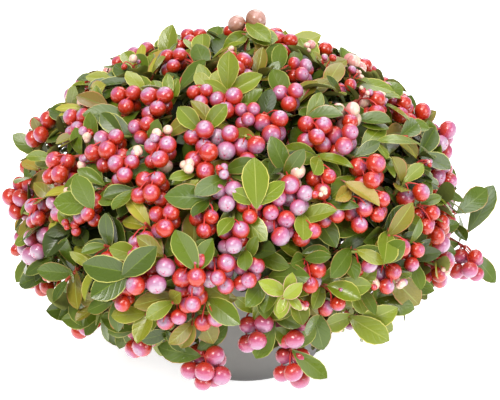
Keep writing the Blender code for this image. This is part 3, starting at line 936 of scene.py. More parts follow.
def growBerries():
    grown, middles, decided = [], [], []

    def hang(shoot, stalk, middle, radius, sort):
        grown.append({"shoot": shoot, "stalk": stalk, "middle": middle, "radius": radius, "sort": sort})

    for shoot in outerShoots:
        own, tip = shoot["own"], shoot["tip"]
        bears = bearsCluster(shoot, decided)
        decided.append((tip, bears))
        count = pick(clusterRule["counts"]) if bears else 0
        if shoot is crestShoot:
            for x, y, z, radius in crestFruits:
                middles.append(tip + Vector((x, y, z)))
                hang(shoot, tip, middles[-1], radius, "rust")
            continue
        if own:
            count = own["berries"]
        if shoot["cluster"]:
            count = shoot["cluster"][1]
        if not count:
            continue
        stalk = tip - shoot["lean"] * rng.uniform(*clusterRule["back"])
        cluster = clusterMiddle(shoot, stalk, middles)
        if cluster is None:
            continue
        middles.append(cluster)
        main = pick(sortShares)
        if own:
            main = own["sort"] or main
        size = clusterRule["radius"][1] if own else rng.uniform(*clusterRule["radius"])
        for i in range(count):
            radius = size * rng.uniform(*clusterRule["uneven"])
            spread = radius * (clusterRule["spread"][0] + clusterRule["spread"][1] * count)
            sort = main if rng.random() < clusterRule["alike"] else pick(sortShares)
            if sort == "cream":
                radius *= clusterRule["creamSize"]
            hang(shoot, stalk, cluster + spiralPoint(i, count) * spread, radius, main if own else sort)
    settle(grown)
    for shoot in outerShoots:
        tip, axis = shoot["tip"], shoot["axis"]
        if shoot["own"]:
            rule = budRule["rosette"]
            for _ in range(shoot["own"]["buds"]):
                off = seenRight * rng.gauss(0, 1) + seenUp * rng.gauss(0, 1)
                way = (seenNear + off * rule["stray"]).normalized()
                middle = tip + way * rng.uniform(*rule["reach"])
                hang(shoot, tip, middle, rng.uniform(*rule["radius"]), "red")
        elif rng.random() < budRule["share"]:
            stalk = tip + axis * budRule["stalk"]
            lean = Matrix.Rotation(rng.uniform(*budRule["turn"]), 3, axis) @ shoot["side"]
            for _ in range(rng.randint(*budRule["count"])):
                way = (axis + lean * budRule["lean"] + stray() * budRule["stray"]).normalized()
                middle = stalk + way * rng.uniform(*budRule["reach"])
                radius = rng.uniform(*budRule["radius"])
                hang(shoot, stalk, middle, radius, rng.choice(budRule["sorts"]))
    return [berry for berry in grown if not insidePot(berry["middle"], berry["radius"])]


def settle(grown):
    # berries push each other apart until they touch, and stay within the crown
    middles = vectorArray(grown, "middle")
    homes = middles.copy()
    sizes = numberArray(grown, "radius")
    limits = np.empty(len(grown))
    wanted = (sizes[:, None] + sizes[None, :]) * clusterRule["squeeze"]
    for turn in range(clusterRule["rounds"]):
        off = middles[:, None, :] - middles[None, :, :]
        apart = np.sqrt((off**2).sum(-1)) + np.eye(len(middles))
        push = np.clip(wanted - apart, 0, None) * 0.5  # half of it for each of the two
        np.fill_diagonal(push, 0)
        middles += (off / apart[..., None] * push[..., None]).sum(1) * clusterRule["push"]
        middles += (homes - middles) * clusterRule["homing"]
        if turn % clusterRule["bringBack"] == 0:
            for i, middle in enumerate(middles):
                way = (Vector(middle) - hub).normalized()
                limits[i] = crownReach(way) * clusterRule["highest"]
            out = middles - np.array(hub)
            far = np.linalg.norm(out, axis=1)
            long = np.array([bool(berry["shoot"]["own"]) for berry in grown])
            over = (far > limits) & ~long
            middles[over] = np.array(hub) + out[over] * (limits[over] / far[over])[:, None]
    for berry, middle in zip(grown, middles):
        berry["middle"] = Vector(middle)


def vectorArray(items, key):
    return np.array([item[key][:] for item in items])


def numberArray(items, key):
    return np.array([item[key] for item in items])


berries = growBerries()
print("berries:", len(berries))


# Leaves stand round the shoots' tips and keep clear of the berries

leafRule = {
    "length": (0.0200, 0.0275),
    "slimness": (0.44, 0.61),
    "spreadYoung": (18, 48),
    "spreadOld": (55, 92),
    "raised": 0.42,  # how much closer to their shoot the leaves stand at the top of the crown
    "youngShorter": 0.28,
    "shorter": 0.7,  # share of the young leaves that are shorter
    "alike": 0.7,  # share of a shoot's leaves that have the spray's tone
    "firstStep": 0.0008,
    "step": 0.0030,
    "counts": {"main": (5, 8), "fine": (5, 8), "inner": (4, 5)},
    "skyward": 0.35,  # how much a leaf's face turns up
    "outward": 0.25,  # how much the face of a leaf with a given way turns from the viewer to the way out
    "stray": 0.02,  # how much further off its given way such a leaf is in each try
    "turn": 0.42,  # how far round the shoot another try is
    "lift": 0.0012,  # how much higher the leaf stands in every third try
    "roll": 0.35,
    "sag": (0.03, 0.38),
    "cup": (-0.18, 0.56),
    "cupPower": 1.3,  # the higher, the nearer to its edges the blade bends up
    "twist": (-0.45, 0.45),
    "taper": (-0.2, 0.42),  # above 0 the blade is widest near its tip
    "taperFrom": 0.6,  # share of the length where the taper leaves the width as it is
    "hang": 0.006,  # how far a leaf may hang below the hem
    "furthest": 1.0,  # share of the crown's reach beyond which a leaf is less and less likely
    "outside": 0.1,  # what each further share of the reach counts for
    "overPot": 0.001,
    "clearance": 0.0006,
    "worst": 0.0022,  # a leaf that would cut deeper than this into the berries is left out
    "past": 0.004,  # how far a leaf may reach past the CAD model's box
    "cell": 0.016,
    "near": 0.035,  # how far from a leaf berries are looked at
    "crossing": 0.00035,  # what each pair of crossing faces counts for
    "hiding": 0.18,  # what the depth of a leaf in a berry's line of sight counts for
    "sight": (0.007, 0.013, 0.85),  # how far outside a berry two spots of it lie, and the share of its size
    "tries": 16,
}
toneSets = {
    # blade, edge, rib, under
    "deep": ("deep", "dark", "dark", "underDark"),
    "dark": ("dark", "edgePale", "mid", "underDark"),
    "darkMid": ("darkMid", "edgeBrown", "rib", "under"),
    "mid": ("mid", "edgePale", "rib", "under"),
    "midFresh": ("midFresh", "edgeLime", "ribPale", "under"),
    "fresh": ("fresh", "edgeLime", "ribPale", "under"),
    "bright": ("bright", "edgeLime", "ribPale", "under"),
    "lime": ("lime", "edgeRed", "edgeLime", "under"),
    "olive": ("olive", "edgeRed", "ribPale", "under"),
    "straw": ("straw", "edgeRed", "ribPale", "under"),
    "bronze": ("bronze", "edgeRed", "rib", "under"),
    "limeRosy": ("limeGreen", "edgeRosy", "ribPale", "under"),
}
toneShares = {
    # shares at the hem, at the top, and inside the crown, where the darker tones are painted shade
    "deep": (0.05, 0.02, 0.32),
    "dark": (0.19, 0.11, 0.38),
    "darkMid": (0.19, 0.14, 0.20),
    "mid": (0.20, 0.18, 0.10),
    "midFresh": (0.14, 0.16, 0.0),
    "fresh": (0.08, 0.12, 0.0),
    "bright": (0.04, 0.08, 0.0),
    "lime": (0.02, 0.03, 0.0),
    "olive": (0.06, 0.09, 0.0),
    "straw": (0.01, 0.04, 0.0),
    "bronze": (0.02, 0.04, 0.0),
}
toneHeights = {"low": 0.06, "leftward": 0.35, "over": 0.14}  # how the shares change from the hem to the top
# a blade's rough shape for tests: (share of the length, side, share of the half width), five points a row
testRows = ((0.08, 0.3), (0.28, 0.73), (0.48, 0.96), (0.68, 0.98), (0.85, 0.76), (0.98, 0.2))
testCorners = np.array([(run, side, half) for run, half in testRows for side in (-0.9, -0.4, 0.0, 0.4, 0.9)])
testFaces = [(5 * r + c, 5 * r + 5 + c, 5 * r + 6 + c, 5 * r + 1 + c) for r in range(5) for c in range(4)]
testTip, testMiddle = 27, 12  # their places in testCorners


def facing(along, normal):
    across = normal.cross(along)
    if across.length < 1e-6:
        across = along.orthogonal()
    across.normalize()
    return across, along.cross(across)


def belowHem(point):
    azimuth = math.degrees(math.atan2(point[1] - hub.y, point[0] - hub.x))
    return point[2] < hemHeight(azimuth) - leafRule["hang"]


def pickTone(shoot):
    # painted shade: the leaves inside the crown take the darker tones
    if shoot["kind"] == "inner":
        return pick({tone: inside for tone, (_, _, inside) in toneShares.items()})
    # lighter tones higher up and on the left
    high = shoot["tip"].z - toneHeights["low"] - toneHeights["leftward"] * shoot["tip"].x
    height = min(1, max(0, high / toneHeights["over"]))
    return pick({tone: hem * (1 - height) + top * height for tone, (hem, top, _) in toneShares.items()})


def bladePoints(leaves, corners, depth=0.0):
    # where the corners (share of the length, side, share of the half width) lie on each bent and twisted leaf
    run, side, half = corners.T
    length, width, sag, cup, twist, taper = (
        numberArray(leaves, key)[:, None] for key in ("length", "width", "sag", "cup", "twist", "taper")
    )
    onBlade = np.clip(run, 0, 1)
    across = side * half * (1 + taper * (onBlade - leafRule["taperFrom"])) * width / 2
    bowed = cup * np.abs(side) ** leafRule["cupPower"] * half * width / 2
    lift = bowed + depth - sag * length * onBlade**2
    turn = twist * onBlade
    return (
        vectorArray(leaves, "root")[:, None, :]
        + (run * length)[..., None] * vectorArray(leaves, "along")[:, None, :]
        + (across * np.cos(turn))[..., None] * vectorArray(leaves, "across")[:, None, :]
        + (lift + across * np.sin(turn))[..., None] * vectorArray(leaves, "face")[:, None, :]
    )


def newLeaf(shoot, i, count, spray):
    # a leaf before it has its place: the first leaves of a shoot are the young ones
    young = 1 - i / (count - 1) if count > 1 else 0
    length = rng.uniform(*leafRule["length"])
    length *= 1 - leafRule["youngShorter"] * young * (rng.random() < leafRule["shorter"])
    pairs = zip(leafRule["spreadYoung"], leafRule["spreadOld"])
    leaf = {
        "tone": spray if rng.random() < leafRule["alike"] else pickTone(shoot),
        "length": length,
        "spreads": [first * young + last * (1 - young) for first, last in pairs],
        "back": leafRule["firstStep"] + leafRule["step"] * i,
        "way": None,
        "kind": shoot["kind"],
        "ring": shoot["ring"],
        "number": shoot["mass"]["number"],
    }
    if shoot["own"] and i < len(shoot["own"]["leaves"]):
        right, high, near, leaf["length"], leaf["back"] = shoot["own"]["leaves"][i]
        leaf["way"], leaf["tone"] = seenFrom(Vector(), right, high, near), spray
    leaf["width"] = leaf["length"] * rng.uniform(*leafRule["slimness"])
    for key in ("sag", "cup", "twist", "taper"):
        leaf[key] = rng.uniform(*leafRule[key])
    return leaf


def turnLeaf(leaf, shoot, i, attempt):
    # one way for the leaf to stand, round the shoot's axis or along its given way
    off = stray()
    if leaf["way"]:
        along = (leaf["way"] + off * leafRule["stray"] * min(attempt, 6)).normalized()
        across, face = facing(along, seenNear + shoot["outward"] * leafRule["outward"])
    else:
        around = shoot["turn"] + i * goldenAngle + (attempt % 5) * leafRule["turn"] * (-1) ** attempt
        out = Matrix.Rotation(around, 3, shoot["axis"]) @ shoot["side"]
        raised = 1 - leafRule["raised"] * max(0, shoot["outward"].z) ** 2
        spread = math.radians(rng.uniform(*leaf["spreads"])) * raised
        along = (shoot["axis"] * math.cos(spread) + out * math.sin(spread)).normalized()
        across, face = facing(along, shoot["axis"] + up * leafRule["skyward"])
        roll = Matrix.Rotation(rng.uniform(-1, 1) * leafRule["roll"], 3, along)
        across, face = roll @ across, roll @ face
    leaf["along"], leaf["across"], leaf["face"] = along, across, face
    lift = leafRule["lift"] * (attempt // 3)
    leaf["root"] = shoot["tip"] - shoot["lean"] * leaf["back"] + face * lift


def depthIn(spots, middles, sizes):
    # how deep the spots lie in these balls, all together
    apart = np.linalg.norm(spots[:, None, :] - middles[None], axis=-1)
    return np.clip(sizes[None] - apart, 0, None).sum() * 0.5


def growLeaves():
    middles = vectorArray(berries, "middle")
    sizes = numberArray(berries, "radius") + leafRule["clearance"]
    outward = unit(middles - np.array(hub))
    first, second, seenShare = leafRule["sight"]
    # where a leaf would hide a berry
    outer = np.concatenate([middles + outward * first, middles + outward * second])
    lowest, highest = np.array(cadLow) - leafRule["past"], np.array(cadHigh) + leafRule["past"]
    grown = []
    nearby = {}  # the rough shapes of grown leaves, by the cell that their middle is in

    def allowed(leaf, spots):
        if (spots < lowest).any() or (spots > highest).any():
            return False
        if any(insidePot(spot, leafRule["overPot"]) for spot in spots[2::5]):
            return False
        return leaf["way"] or not belowHem(spots[testTip])

    for shoot in shoots:
        inner = shoot["kind"] == "inner"
        count, spray = rng.randint(*leafRule["counts"][shoot["kind"]]), pickTone(shoot)
        if shoot["own"]:
            count, spray = len(shoot["own"]["leaves"]) + 1, shoot["own"]["tone"]
        for i in range(count):
            leaf = newLeaf(shoot, i, count, spray)
            best = None
            for attempt in range(leafRule["tries"]):
                turnLeaf(leaf, shoot, i, attempt)
                spots = bladePoints([leaf], testCorners)[0]
                if not allowed(leaf, spots):
                    continue
                near = np.linalg.norm(middles - spots[testMiddle], axis=1) < leafRule["near"]
                cut = depthIn(spots, middles[near], sizes[near])
                hidden = depthIn(spots, outer[np.tile(near, 2)], np.tile(sizes[near], 2) * seenShare)
                if not leaf["way"]:
                    off = Vector(spots[testTip]) - hub
                    past = off.length / crownReach(off.normalized()) - leafRule["furthest"]
                    cut += max(0, past) * leafRule["outside"]
                shape = BVHTree.FromPolygons(spots.tolist(), testFaces)
                cell = cellOf(spots[testMiddle], leafRule["cell"])
                if not inner and (best is None or cut < best[0]):
                    for other in nearCell(nearby, cell):
                        cut += leafRule["crossing"] * len(shape.overlap(other))
                score = cut + hidden * leafRule["hiding"]
                if best is None or score < best[0]:
                    best = (score, dict(leaf), shape, cell)
                if score == 0:
                    break
            if best is None or (best[0] > leafRule["worst"] and not leaf["way"]):
                continue
            if not inner:
                nearby.setdefault(best[3], []).append(best[2])
            grown.append(best[1])
    return grown


leafFine = {
    # (share of the length, share of the half width) along the blade, from the stalk's root to the tip
    "rows": (
        (-0.13, 0.05), (0.0, 0.09), (0.10, 0.36), (0.26, 0.70), (0.45, 0.94),
        (0.64, 1.0), (0.80, 0.82), (0.92, 0.46), (1.0, 0.05),
    ),
    "columns": (-1, -0.93, -0.5, -0.04, 0.04, 0.5, 0.93, 1),
    "zones": (1, 0, 0, 2, 0, 0, 1),
    "under": (-0.5, 0, 0.5),
    "groove": 0.00022,  # the depth of the midrib
}
leafPlain = {
    "rows": ((-0.1, 0.06), (0.04, 0.25), (0.32, 0.85), (0.64, 1.0), (0.88, 0.66), (1.0, 0.12)),
    "columns": (-1, 0, 1),
    "zones": (0, 0),
    "under": (0,),
    "groove": 0.0,
}
leafThickness = 0.0004
leafRipple = {"height": 0.00016, "waves": 24, "between": (0.3, 0.8)}  # in shares of the half width


def leafTemplate(shape):
    # corners as (run, side, half width) with their depths, quads with zones, and end faces
    columns, under = shape["columns"], shape["under"]
    wide, tall = len(columns), len(shape["rows"])
    corners, depths = [], []
    for run, half in shape["rows"]:
        for side in columns:
            corners.append((run, side, half))
            depths.append(-shape["groove"] if abs(side) < 0.1 else 0.0)
    for run, half in shape["rows"]:
        for side in under:
            corners.append((run, side, half))
            depths.append((-shape["groove"] if side == 0 else 0.0) - leafThickness * min(1, 4 * half))

    def underRow(r):
        first = tall * wide + r * len(under)
        return [r * wide, *range(first, first + len(under)), r * wide + wide - 1]

    quads, zones = [], []
    for r in range(tall - 1):
        for c in range(wide - 1):
            a, b = r * wide + c, (r + 1) * wide + c
            quads.append((a, b, b + 1, a + 1))
            zones.append(4 if r == 0 else shape["zones"][c])
        here, after = underRow(r), underRow(r + 1)
        for c in range(len(here) - 1):
            quads.append((here[c], here[c + 1], after[c + 1], after[c]))
            zones.append(4 if r == 0 else 3)
    last = (tall - 1) * wide
    start = [*range(wide), *underRow(0)[-2:0:-1]]
    end = [*range(last + wide - 1, last - 1, -1), *underRow(tall - 1)[1:-1]]
    return [np.array(made) for made in (corners, depths, quads, zones, [start, end], [4, 1])]


def makeLeafPiece(name, leaves, shape, replaced):
    corners, depths, quads, zones, ends, endZones = leafTemplate(shape)
    count, each = len(leaves), len(corners)
    run, side, _ = corners.T
    near, far = leafRipple["between"]
    waves = leafRipple["height"] * np.sin(run * leafRipple["waves"])
    ripple = waves * (np.abs(side) > near) * (np.abs(side) < far)
    points = bladePoints(leaves, corners, depths + ripple).reshape(-1, 3)
    parts = {tone: [*given, "stalk"] for tone, given in toneSets.items()}
    used = sorted({"leaf_" + part for given in parts.values() for part in given})
    tones = np.array([[used.index("leaf_" + part) for part in parts[leaf["tone"]]] for leaf in leaves])
    faceSets = [
        (repeated(quads, count, each), tones[:, zones].ravel()),
        (repeated(ends, count, each), tones[:, endZones].ravel()),
    ]
    places = np.tile(np.stack([run, 0.5 + 0.5 * side], -1), (count, 1))
    makePiece(name, points, faceSets, used, replaced, sharp=50, places=places)


def massNodes(ringName, part):
    return [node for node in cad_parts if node.startswith(ringName + "_" + part)]


pieceRule = {"hem": 3, "shoulder": 2, "top": 1}  # how many pieces a ring's leaves make, and its berries


def inParts(ringName, kind, items):
    # the items of neighbouring masses together, with the masses that each part replaces
    parts = pieceRule[ringName]
    nodes = massNodes(ringName, "foliage")
    for i in range(parts):
        first, end = len(nodes) * i // parts, len(nodes) * (i + 1) // parts
        suffix = f"_{i + 1}" if parts > 1 else ""
        part = [item for item in items if first < item["number"] <= end]
        yield ringName + kind + suffix, part, nodes[first:end]


leaves = growLeaves()
print("leaves:", len(leaves))
for ringName in pieceRule:
    own = [leaf for leaf in leaves if leaf["ring"] == ringName]
    outer = [leaf for leaf in own if leaf["kind"] != "inner"]
    inner = [leaf for leaf in own if leaf["kind"] == "inner"]
    for name, part, nodes in inParts(ringName, "_leaves", outer):
        makeLeafPiece(name, part, leafFine, nodes)
    makeLeafPiece(ringName + "_inner_leaves", inner, leafPlain, massNodes(ringName, "foliage"))


berryShape = {
    # (degrees from the apex, share of the radius, how far the five lobes push the ring out)
    "rings": (
        (4.0, 0.94, 0.0), (10, 0.99, 2.6), (19, 0.995, 0.4),
        *((angle, 1.0, 0.0) for angle in (28, 37, 46, 55, 64, 73, 82, 92, 104, 122)),
        (150, 0.99, 0.0),
    ),
    "waver": 2.4,  # degrees that the bands of colour waver
    "waverTurn": 1.9,  # how much further round each band's waver starts
    "lobeHeight": 0.004,
    "sides": 15,
    "apexDepth": 0.87,
    "stalkDepth": 0.93,
    "flatness": 0.94,
}


def berryTemplate():
    sides, count = berryShape["sides"], len(berryShape["rings"])
    turn = np.linspace(0, 2 * math.pi, sides, endpoint=False)
    points = [(0, 0, berryShape["apexDepth"])]
    for i, (angle, share, lobes) in enumerate(berryShape["rings"]):
        waver = berryShape["waver"] * np.cos(2 * turn + berryShape["waverTurn"] * i) * (i > 2)
        polar = np.radians(angle + waver + lobes * np.cos(5 * turn))
        high = share + berryShape["lobeHeight"] * lobes * np.cos(5 * turn)
        wide = high * np.sin(polar)
        points += list(zip(wide * np.cos(turn), wide * np.sin(turn), high * np.cos(polar)))
    points.append((0, 0, -berryShape["stalkDepth"]))
    points = np.array(points) * (1, 1, berryShape["flatness"])
    bands = np.repeat(np.arange(1, count), sides)
    bands[(bands < 4) & (np.tile(np.arange(sides), count - 1) % 3 == 0)] = -1  # the star's lines
    quads = 1 + ringFaces(count, sides)[:, [0, 3, 2, 1]]
    return points, quads, bands, poleFaces(count, sides), np.repeat([0, count], sides)


def makeBerryPiece(name, berries, replaced):
    shape, quads, bands, caps, capBands = berryTemplate()
    count, each = len(berries), len(shape)
    apex = unit(vectorArray(berries, "apex"))
    first = sideways(apex)
    second = np.cross(apex, first)
    spin = numberArray(berries, "spin")[:, None]
    first, second = first * np.cos(spin) + second * np.sin(spin), second * np.cos(spin) - first * np.sin(spin)
    radius = numberArray(berries, "radius")[:, None, None]
    points = vectorArray(berries, "middle")[:, None, :] + radius * (
        shape[None, :, 0:1] * first[:, None, :]
        + shape[None, :, 1:2] * second[:, None, :]
        + shape[None, :, 2:3] * apex[:, None, :]
    )
    used = list(berryColours)
    edges = [0] + [angle for angle, _, _ in berryShape["rings"]] + [180]
    angles = [(low + high) / 2 for low, high in zip(edges, edges[1:])]
    table = {sort: [used.index(tone) for tone in berryTones(sort, angles)] for sort in berrySorts}
    tones = np.array([table[berry["sort"]] for berry in berries])
    faceSets = [
        (repeated(quads, count, each), tones[:, bands].ravel()),
        (repeated(caps, count, each), tones[:, capBands].ravel()),
    ]
    names = ["berry_" + tone for tone in used]
    makePiece(name, points.reshape(-1, 3), faceSets, names, replaced, sharp=70)


# how much a berry's apex follows the way out of the crown, the way off its stalk, and the way up or down.
# Where the stalk is at the apex, the pale apex turns up and out and is painted sheen of the light from above
paintedSheenCap = {"outward": 0.62, "rising": 0.60, "stray": 0.20, "low": 0.03, "over": 0.06, "least": -0.2}
stalkBehind = {"outward": 0.75, "away": 0.35, "stray": 0.28, "drop": 0.15, "longDrop": 0.5}


def dressBerries():
    for berry in berries:
        away = (berry["middle"] - berry["stalk"]).normalized()
        outward = (berry["middle"] - hub).normalized()
        off = stray()
        # painted sheen: these sorts' pale end faces up and out, towards the light from above
        if berrySorts[berry["sort"]][-1]:
            rule = paintedSheenCap
            high = min(1, max(rule["least"], (berry["middle"].z - rule["low"]) / rule["over"]))
            way = outward * rule["outward"] + up * rule["rising"] * high + off * rule["stray"]
            berry["apex"] = way.normalized()
            berry["seat"] = berry["apex"]
        else:
            rule = stalkBehind
            drop = rule["longDrop"] if berry["shoot"]["own"] else rule["drop"]
            way = away * rule["away"] + outward * rule["outward"] - up * drop + off * rule["stray"]
            berry["apex"] = way.normalized()
            berry["seat"] = -berry["apex"]
        berry["spin"] = rng.uniform(0, 2 * math.pi)
        berry["number"] = berry["shoot"]["mass"]["number"]


dressBerries()
for ringName in pieceRule:
    own = [berry for berry in berries if berry["shoot"]["ring"] == ringName]
    for name, part, nodes in inParts(ringName, "_berries", own):
        makeBerryPiece(name, part, nodes)


# Twigs, berry stalks and bark

twigRule = {
    "radii": (0.0011, 0.0006),  # at the root and at the tip
    "mainThicker": 1.5,
    "greenShare": 0.3,
    "rings": 7,
    "sides": 6,
    "bend": 0.10,
    "past": 0.001,  # how far past the shoot's tip a twig ends
    "coreReach": (0.37, 0.86),  # the twig in the middle of each mass, as shares of its reach
    "coreRadii": (0.0014, 0.0010),
}
stalkRule = {
    "radius": 0.00032,
    "thicker": 1.5,  # how much thicker a stalk is at its berry
    "rings": 5,
    "sides": 4,
    "lift": 0.002,  # how far its middle is moved up, and the way that the berry's seat faces
    "pull": 0.003,
    "depth": 0.82,  # share of the berry's radius where it ends
}


def curvedPath(start, end, pull, count):
    # a bent line from start to end, whose middle is moved by pull
    share = np.linspace(0, 1, count)[:, None]
    middle = (np.array(start) + np.array(end)) / 2 + np.array(pull)
    return (1 - share) ** 2 * np.array(start) + 2 * share * (1 - share) * middle + share**2 * np.array(end)


def makeTwigs(ringName):
    paths, radii, kinds = [], [], []
    count = twigRule["rings"]
    for shoot in (shoot for shoot in shoots if shoot["ring"] == ringName):
        off = shoot["tip"] - shoot["root"]
        sag = -up * off.length * twigRule["bend"] * (1 - abs(shoot["outward"].z))
        end = shoot["tip"] + shoot["axis"] * twigRule["past"]
        paths.append(curvedPath(shoot["root"], end, sag, count))
        thick = twigRule["mainThicker"] if shoot["kind"] == "main" else 1.0
        radii.append(np.linspace(*(radius * thick for radius in twigRule["radii"]), count))
        kinds.append(1 if rng.random() < twigRule["greenShare"] else 0)
    for mass in (mass for mass in masses if mass["ring"] == ringName):
        start, end = (hub + mass["way"] * mass["reach"] * share for share in twigRule["coreReach"])
        paths.append(curvedPath(start, end, (0, 0, 0), count))
        radii.append(np.linspace(*twigRule["coreRadii"], count))
        kinds.append(0)
    nodes = massNodes(ringName, "foliage")
    names = ["bark_youngBark", "bark_greenTwig"]
    makeTubes(ringName + "_twigs", paths, radii, twigRule["sides"], names, nodes, kinds=kinds)


def makeStalks(ringName):
    paths = []
    for berry in (berry for berry in berries if berry["shoot"]["ring"] == ringName):
        end = berry["middle"] + berry["seat"] * berry["radius"] * stalkRule["depth"]
        pull = up * stalkRule["lift"] + berry["seat"] * stalkRule["pull"]
        paths.append(curvedPath(berry["stalk"], end, pull, stalkRule["rings"]))
    thick = stalkRule["radius"] * stalkRule["thicker"]
    radii = [np.linspace(stalkRule["radius"], thick, stalkRule["rings"])] * len(paths)
    nodes = massNodes(ringName, "foliage")
    makeTubes(ringName + "_berry_stalks", paths, radii, stalkRule["sides"], ["bark_pedicel"], nodes)


for ringName in pieceRule:
    makeTwigs(ringName)
    makeStalks(ringName)

barkRule = {
    "limbRadii": (0.0018, 0.0012),
    "limbStart": 0.9,  # share of the stem's head
    "limbReach": 0.37,  # share of the mass's reach
    "arch": (0.0025, 1.5),  # its height, and how many times it fits the limb
    "limbRings": 24,
    "limbSides": 12,
    "limbRelief": (0.35, 0.28),  # how fast the furrows change along the limb, and their depth
    "stemRelief": (0.12, 0.16),
    "furrows": 2.2,  # how fast they change round it
    "finer": (2.3, 0.5),  # how much finer, and how deep, those are that lie over them
    "apart": 7,  # how far apart two limbs lie in the noise
}
stemSizes = {
    "buried": 0.001,
    "foot": 0.0095,
    "neck": 0.0058,
    "head": 0.0082,
    "rings": 60,
    "crowding": 0.9,  # under 1 the rings stand closer together towards the head
    "sides": 40,
    "flareLobes": 4,
    "flareHeight": 0.014,
    "flareDepth": 0.16,
}


def barkRelief(paths, sides, scale, depth):
    # lengthwise furrows: noise that is stretched along each tube
    relief = np.zeros((*paths.shape[:2], sides))
    reach, apart, (finer, share) = barkRule["furrows"], barkRule["apart"], barkRule["finer"]
    for i, j, k in np.ndindex(relief.shape):
        a = 2 * math.pi * k / sides
        spot = Vector((math.cos(a) * reach + apart * i, math.sin(a) * reach, j * scale))
        relief[i, j, k] = depth * (noise.noise(spot) + share * noise.noise(spot * finer))
    return relief


def makeLimbs(ringName):
    paths = []
    share = np.linspace(0, 1, barkRule["limbRings"])
    high, times = barkRule["arch"]
    for mass in (mass for mass in masses if mass["ring"] == ringName):
        way = mass["way"]
        bend = (way.cross(up) if abs(way.z) < 0.9 else Vector((1, 0, 0))).normalized()
        root = stemSizes["head"] * barkRule["limbStart"]
        run = root + (mass["reach"] * barkRule["limbReach"] - root) * share
        arch = high * np.sin(math.pi * np.minimum(1, share * times)) ** 2
        paths.append(np.array(hub) + np.outer(run, np.array(way)) + np.outer(arch, np.array(bend)))
    radii = [np.linspace(*barkRule["limbRadii"], barkRule["limbRings"])] * len(paths)
    sides, nodes = barkRule["limbSides"], massNodes(ringName, "limb")
    relief = barkRelief(np.array(paths), sides, *barkRule["limbRelief"])
    makeTubes(ringName + "_limb_bark", paths, radii, sides, ["bark_oldBark"], nodes, relief)


def makeStem():
    foot = pot["height"] - pot["soilBelowRim"] - stemSizes["buried"]
    top = hub.z + stemSizes["head"]
    heights = foot + (top - foot) * np.linspace(0, 1, stemSizes["rings"]) ** stemSizes["crowding"]
    known = (  # heights and radii from the foot to the head
        (foot, stemSizes["foot"] * 1.04),
        (foot + 0.002, stemSizes["foot"]),
        (foot + 0.008, stemSizes["neck"] * 1.12),
        (foot + 0.55 * (hub.z - foot), stemSizes["neck"]),
        (hub.z - 0.0045, stemSizes["head"] * 0.84),
        (hub.z, stemSizes["head"]),
        (hub.z + 0.0055, stemSizes["head"] * 0.74),
        (top, stemSizes["head"] * 0.12),
    )
    radii = np.interp(heights, [height for height, _ in known], [radius for _, radius in known])
    rise = np.clip((heights - foot) / (hub.z - stemSizes["head"] - foot), 0, 1)
    paths = np.stack([hub.x * rise, hub.y * rise, heights], -1)[None]
    sides = stemSizes["sides"]
    turn = np.linspace(0, 2 * math.pi, sides, endpoint=False)
    flare = np.clip(1 - (heights - foot) / stemSizes["flareHeight"], 0, 1)
    relief = barkRelief(paths, sides, *barkRule["stemRelief"])
    relief += stemSizes["flareDepth"] * flare[None, :, None] * np.cos(stemSizes["flareLobes"] * turn)
    makeTubes("stem_bark", paths, radii[None], sides, ["bark_oldBark"], ["stem"], relief)


makeStem()
for ringName in pieceRule:
    makeLimbs(ringName)


# Pot and soil

# the foot colour and its band are painted shade, darker towards the pot's foot
potFinish = {"colour": "#757471", "foot": "#5e5d5b", "footShadeBand": (0.0, 0.016, 0.003, 60)}
soilRule = {
    "colour": "#2e2019",
    "gaps": (0.0002, 0.0004, 0.0003),  # to the pot's wall at the top and at the foot, and over its floor
    "slope": 1.6,  # the power by which the surface falls towards the wall
    "sides": 96,
    "rows": 26,
    "lumps": ((160, 0.0011), (420, 0.0006)),  # how fine and how high
    "quietRim": 0.004,  # how far from the wall the lumps fade out
    "crumbs": 420,
    "crumbReach": 0.96,  # share of the surface's radius
    "stemClear": 1.2,  # how far from the stem's middle crumbs keep, in radii of its foot
    "crumbRadius": (0.0006, 0.0019),
    "crumbUneven": (0.7, 1.2),
    "crumbLift": 0.2,  # how far a crumb's middle is over the surface, in its radii
}


def makePotFinish():
    # painted shade: darker towards the foot
    tree, shader = newFinish("pot_plastic", potFinish["colour"], "pot")
    tones = shader["Base Color"].links[0].from_socket
    mask = addGroup(tree, "heightBand", *potFinish["footShadeBand"])
    tree.links.new(mixNode(tree, mask, paint(potFinish["foot"]), tones), shader["Base Color"])


def turnedShape(profile, sides):
    # a turned shape whose first and last points lie on the axis
    turn = np.linspace(0, 2 * math.pi, sides, endpoint=False)
    points = [(0, 0, profile[0][1])]
    for radius, height in profile[1:-1]:
        points += list(zip(radius * np.cos(turn), radius * np.sin(turn), np.full(sides, height)))
    points.append((0, 0, profile[-1][1]))
    count = len(profile) - 2
    return np.array(points), [(1 + ringFaces(count, sides)[:, [1, 0, 3, 2]], 0), (poleFaces(count, sides), 0)]


def rounded(corner, before, after, size, steps=4):
    # a corner of a profile, rounded by this size
    corner, before, after = (Vector(p) for p in (corner, before, after))
    start = corner + (before - corner).normalized() * size
    end = corner + (after - corner).normalized() * size
    return [tuple(start.lerp(corner, t).lerp(corner.lerp(end, t), t)) for t in np.linspace(0, 1, steps + 1)]


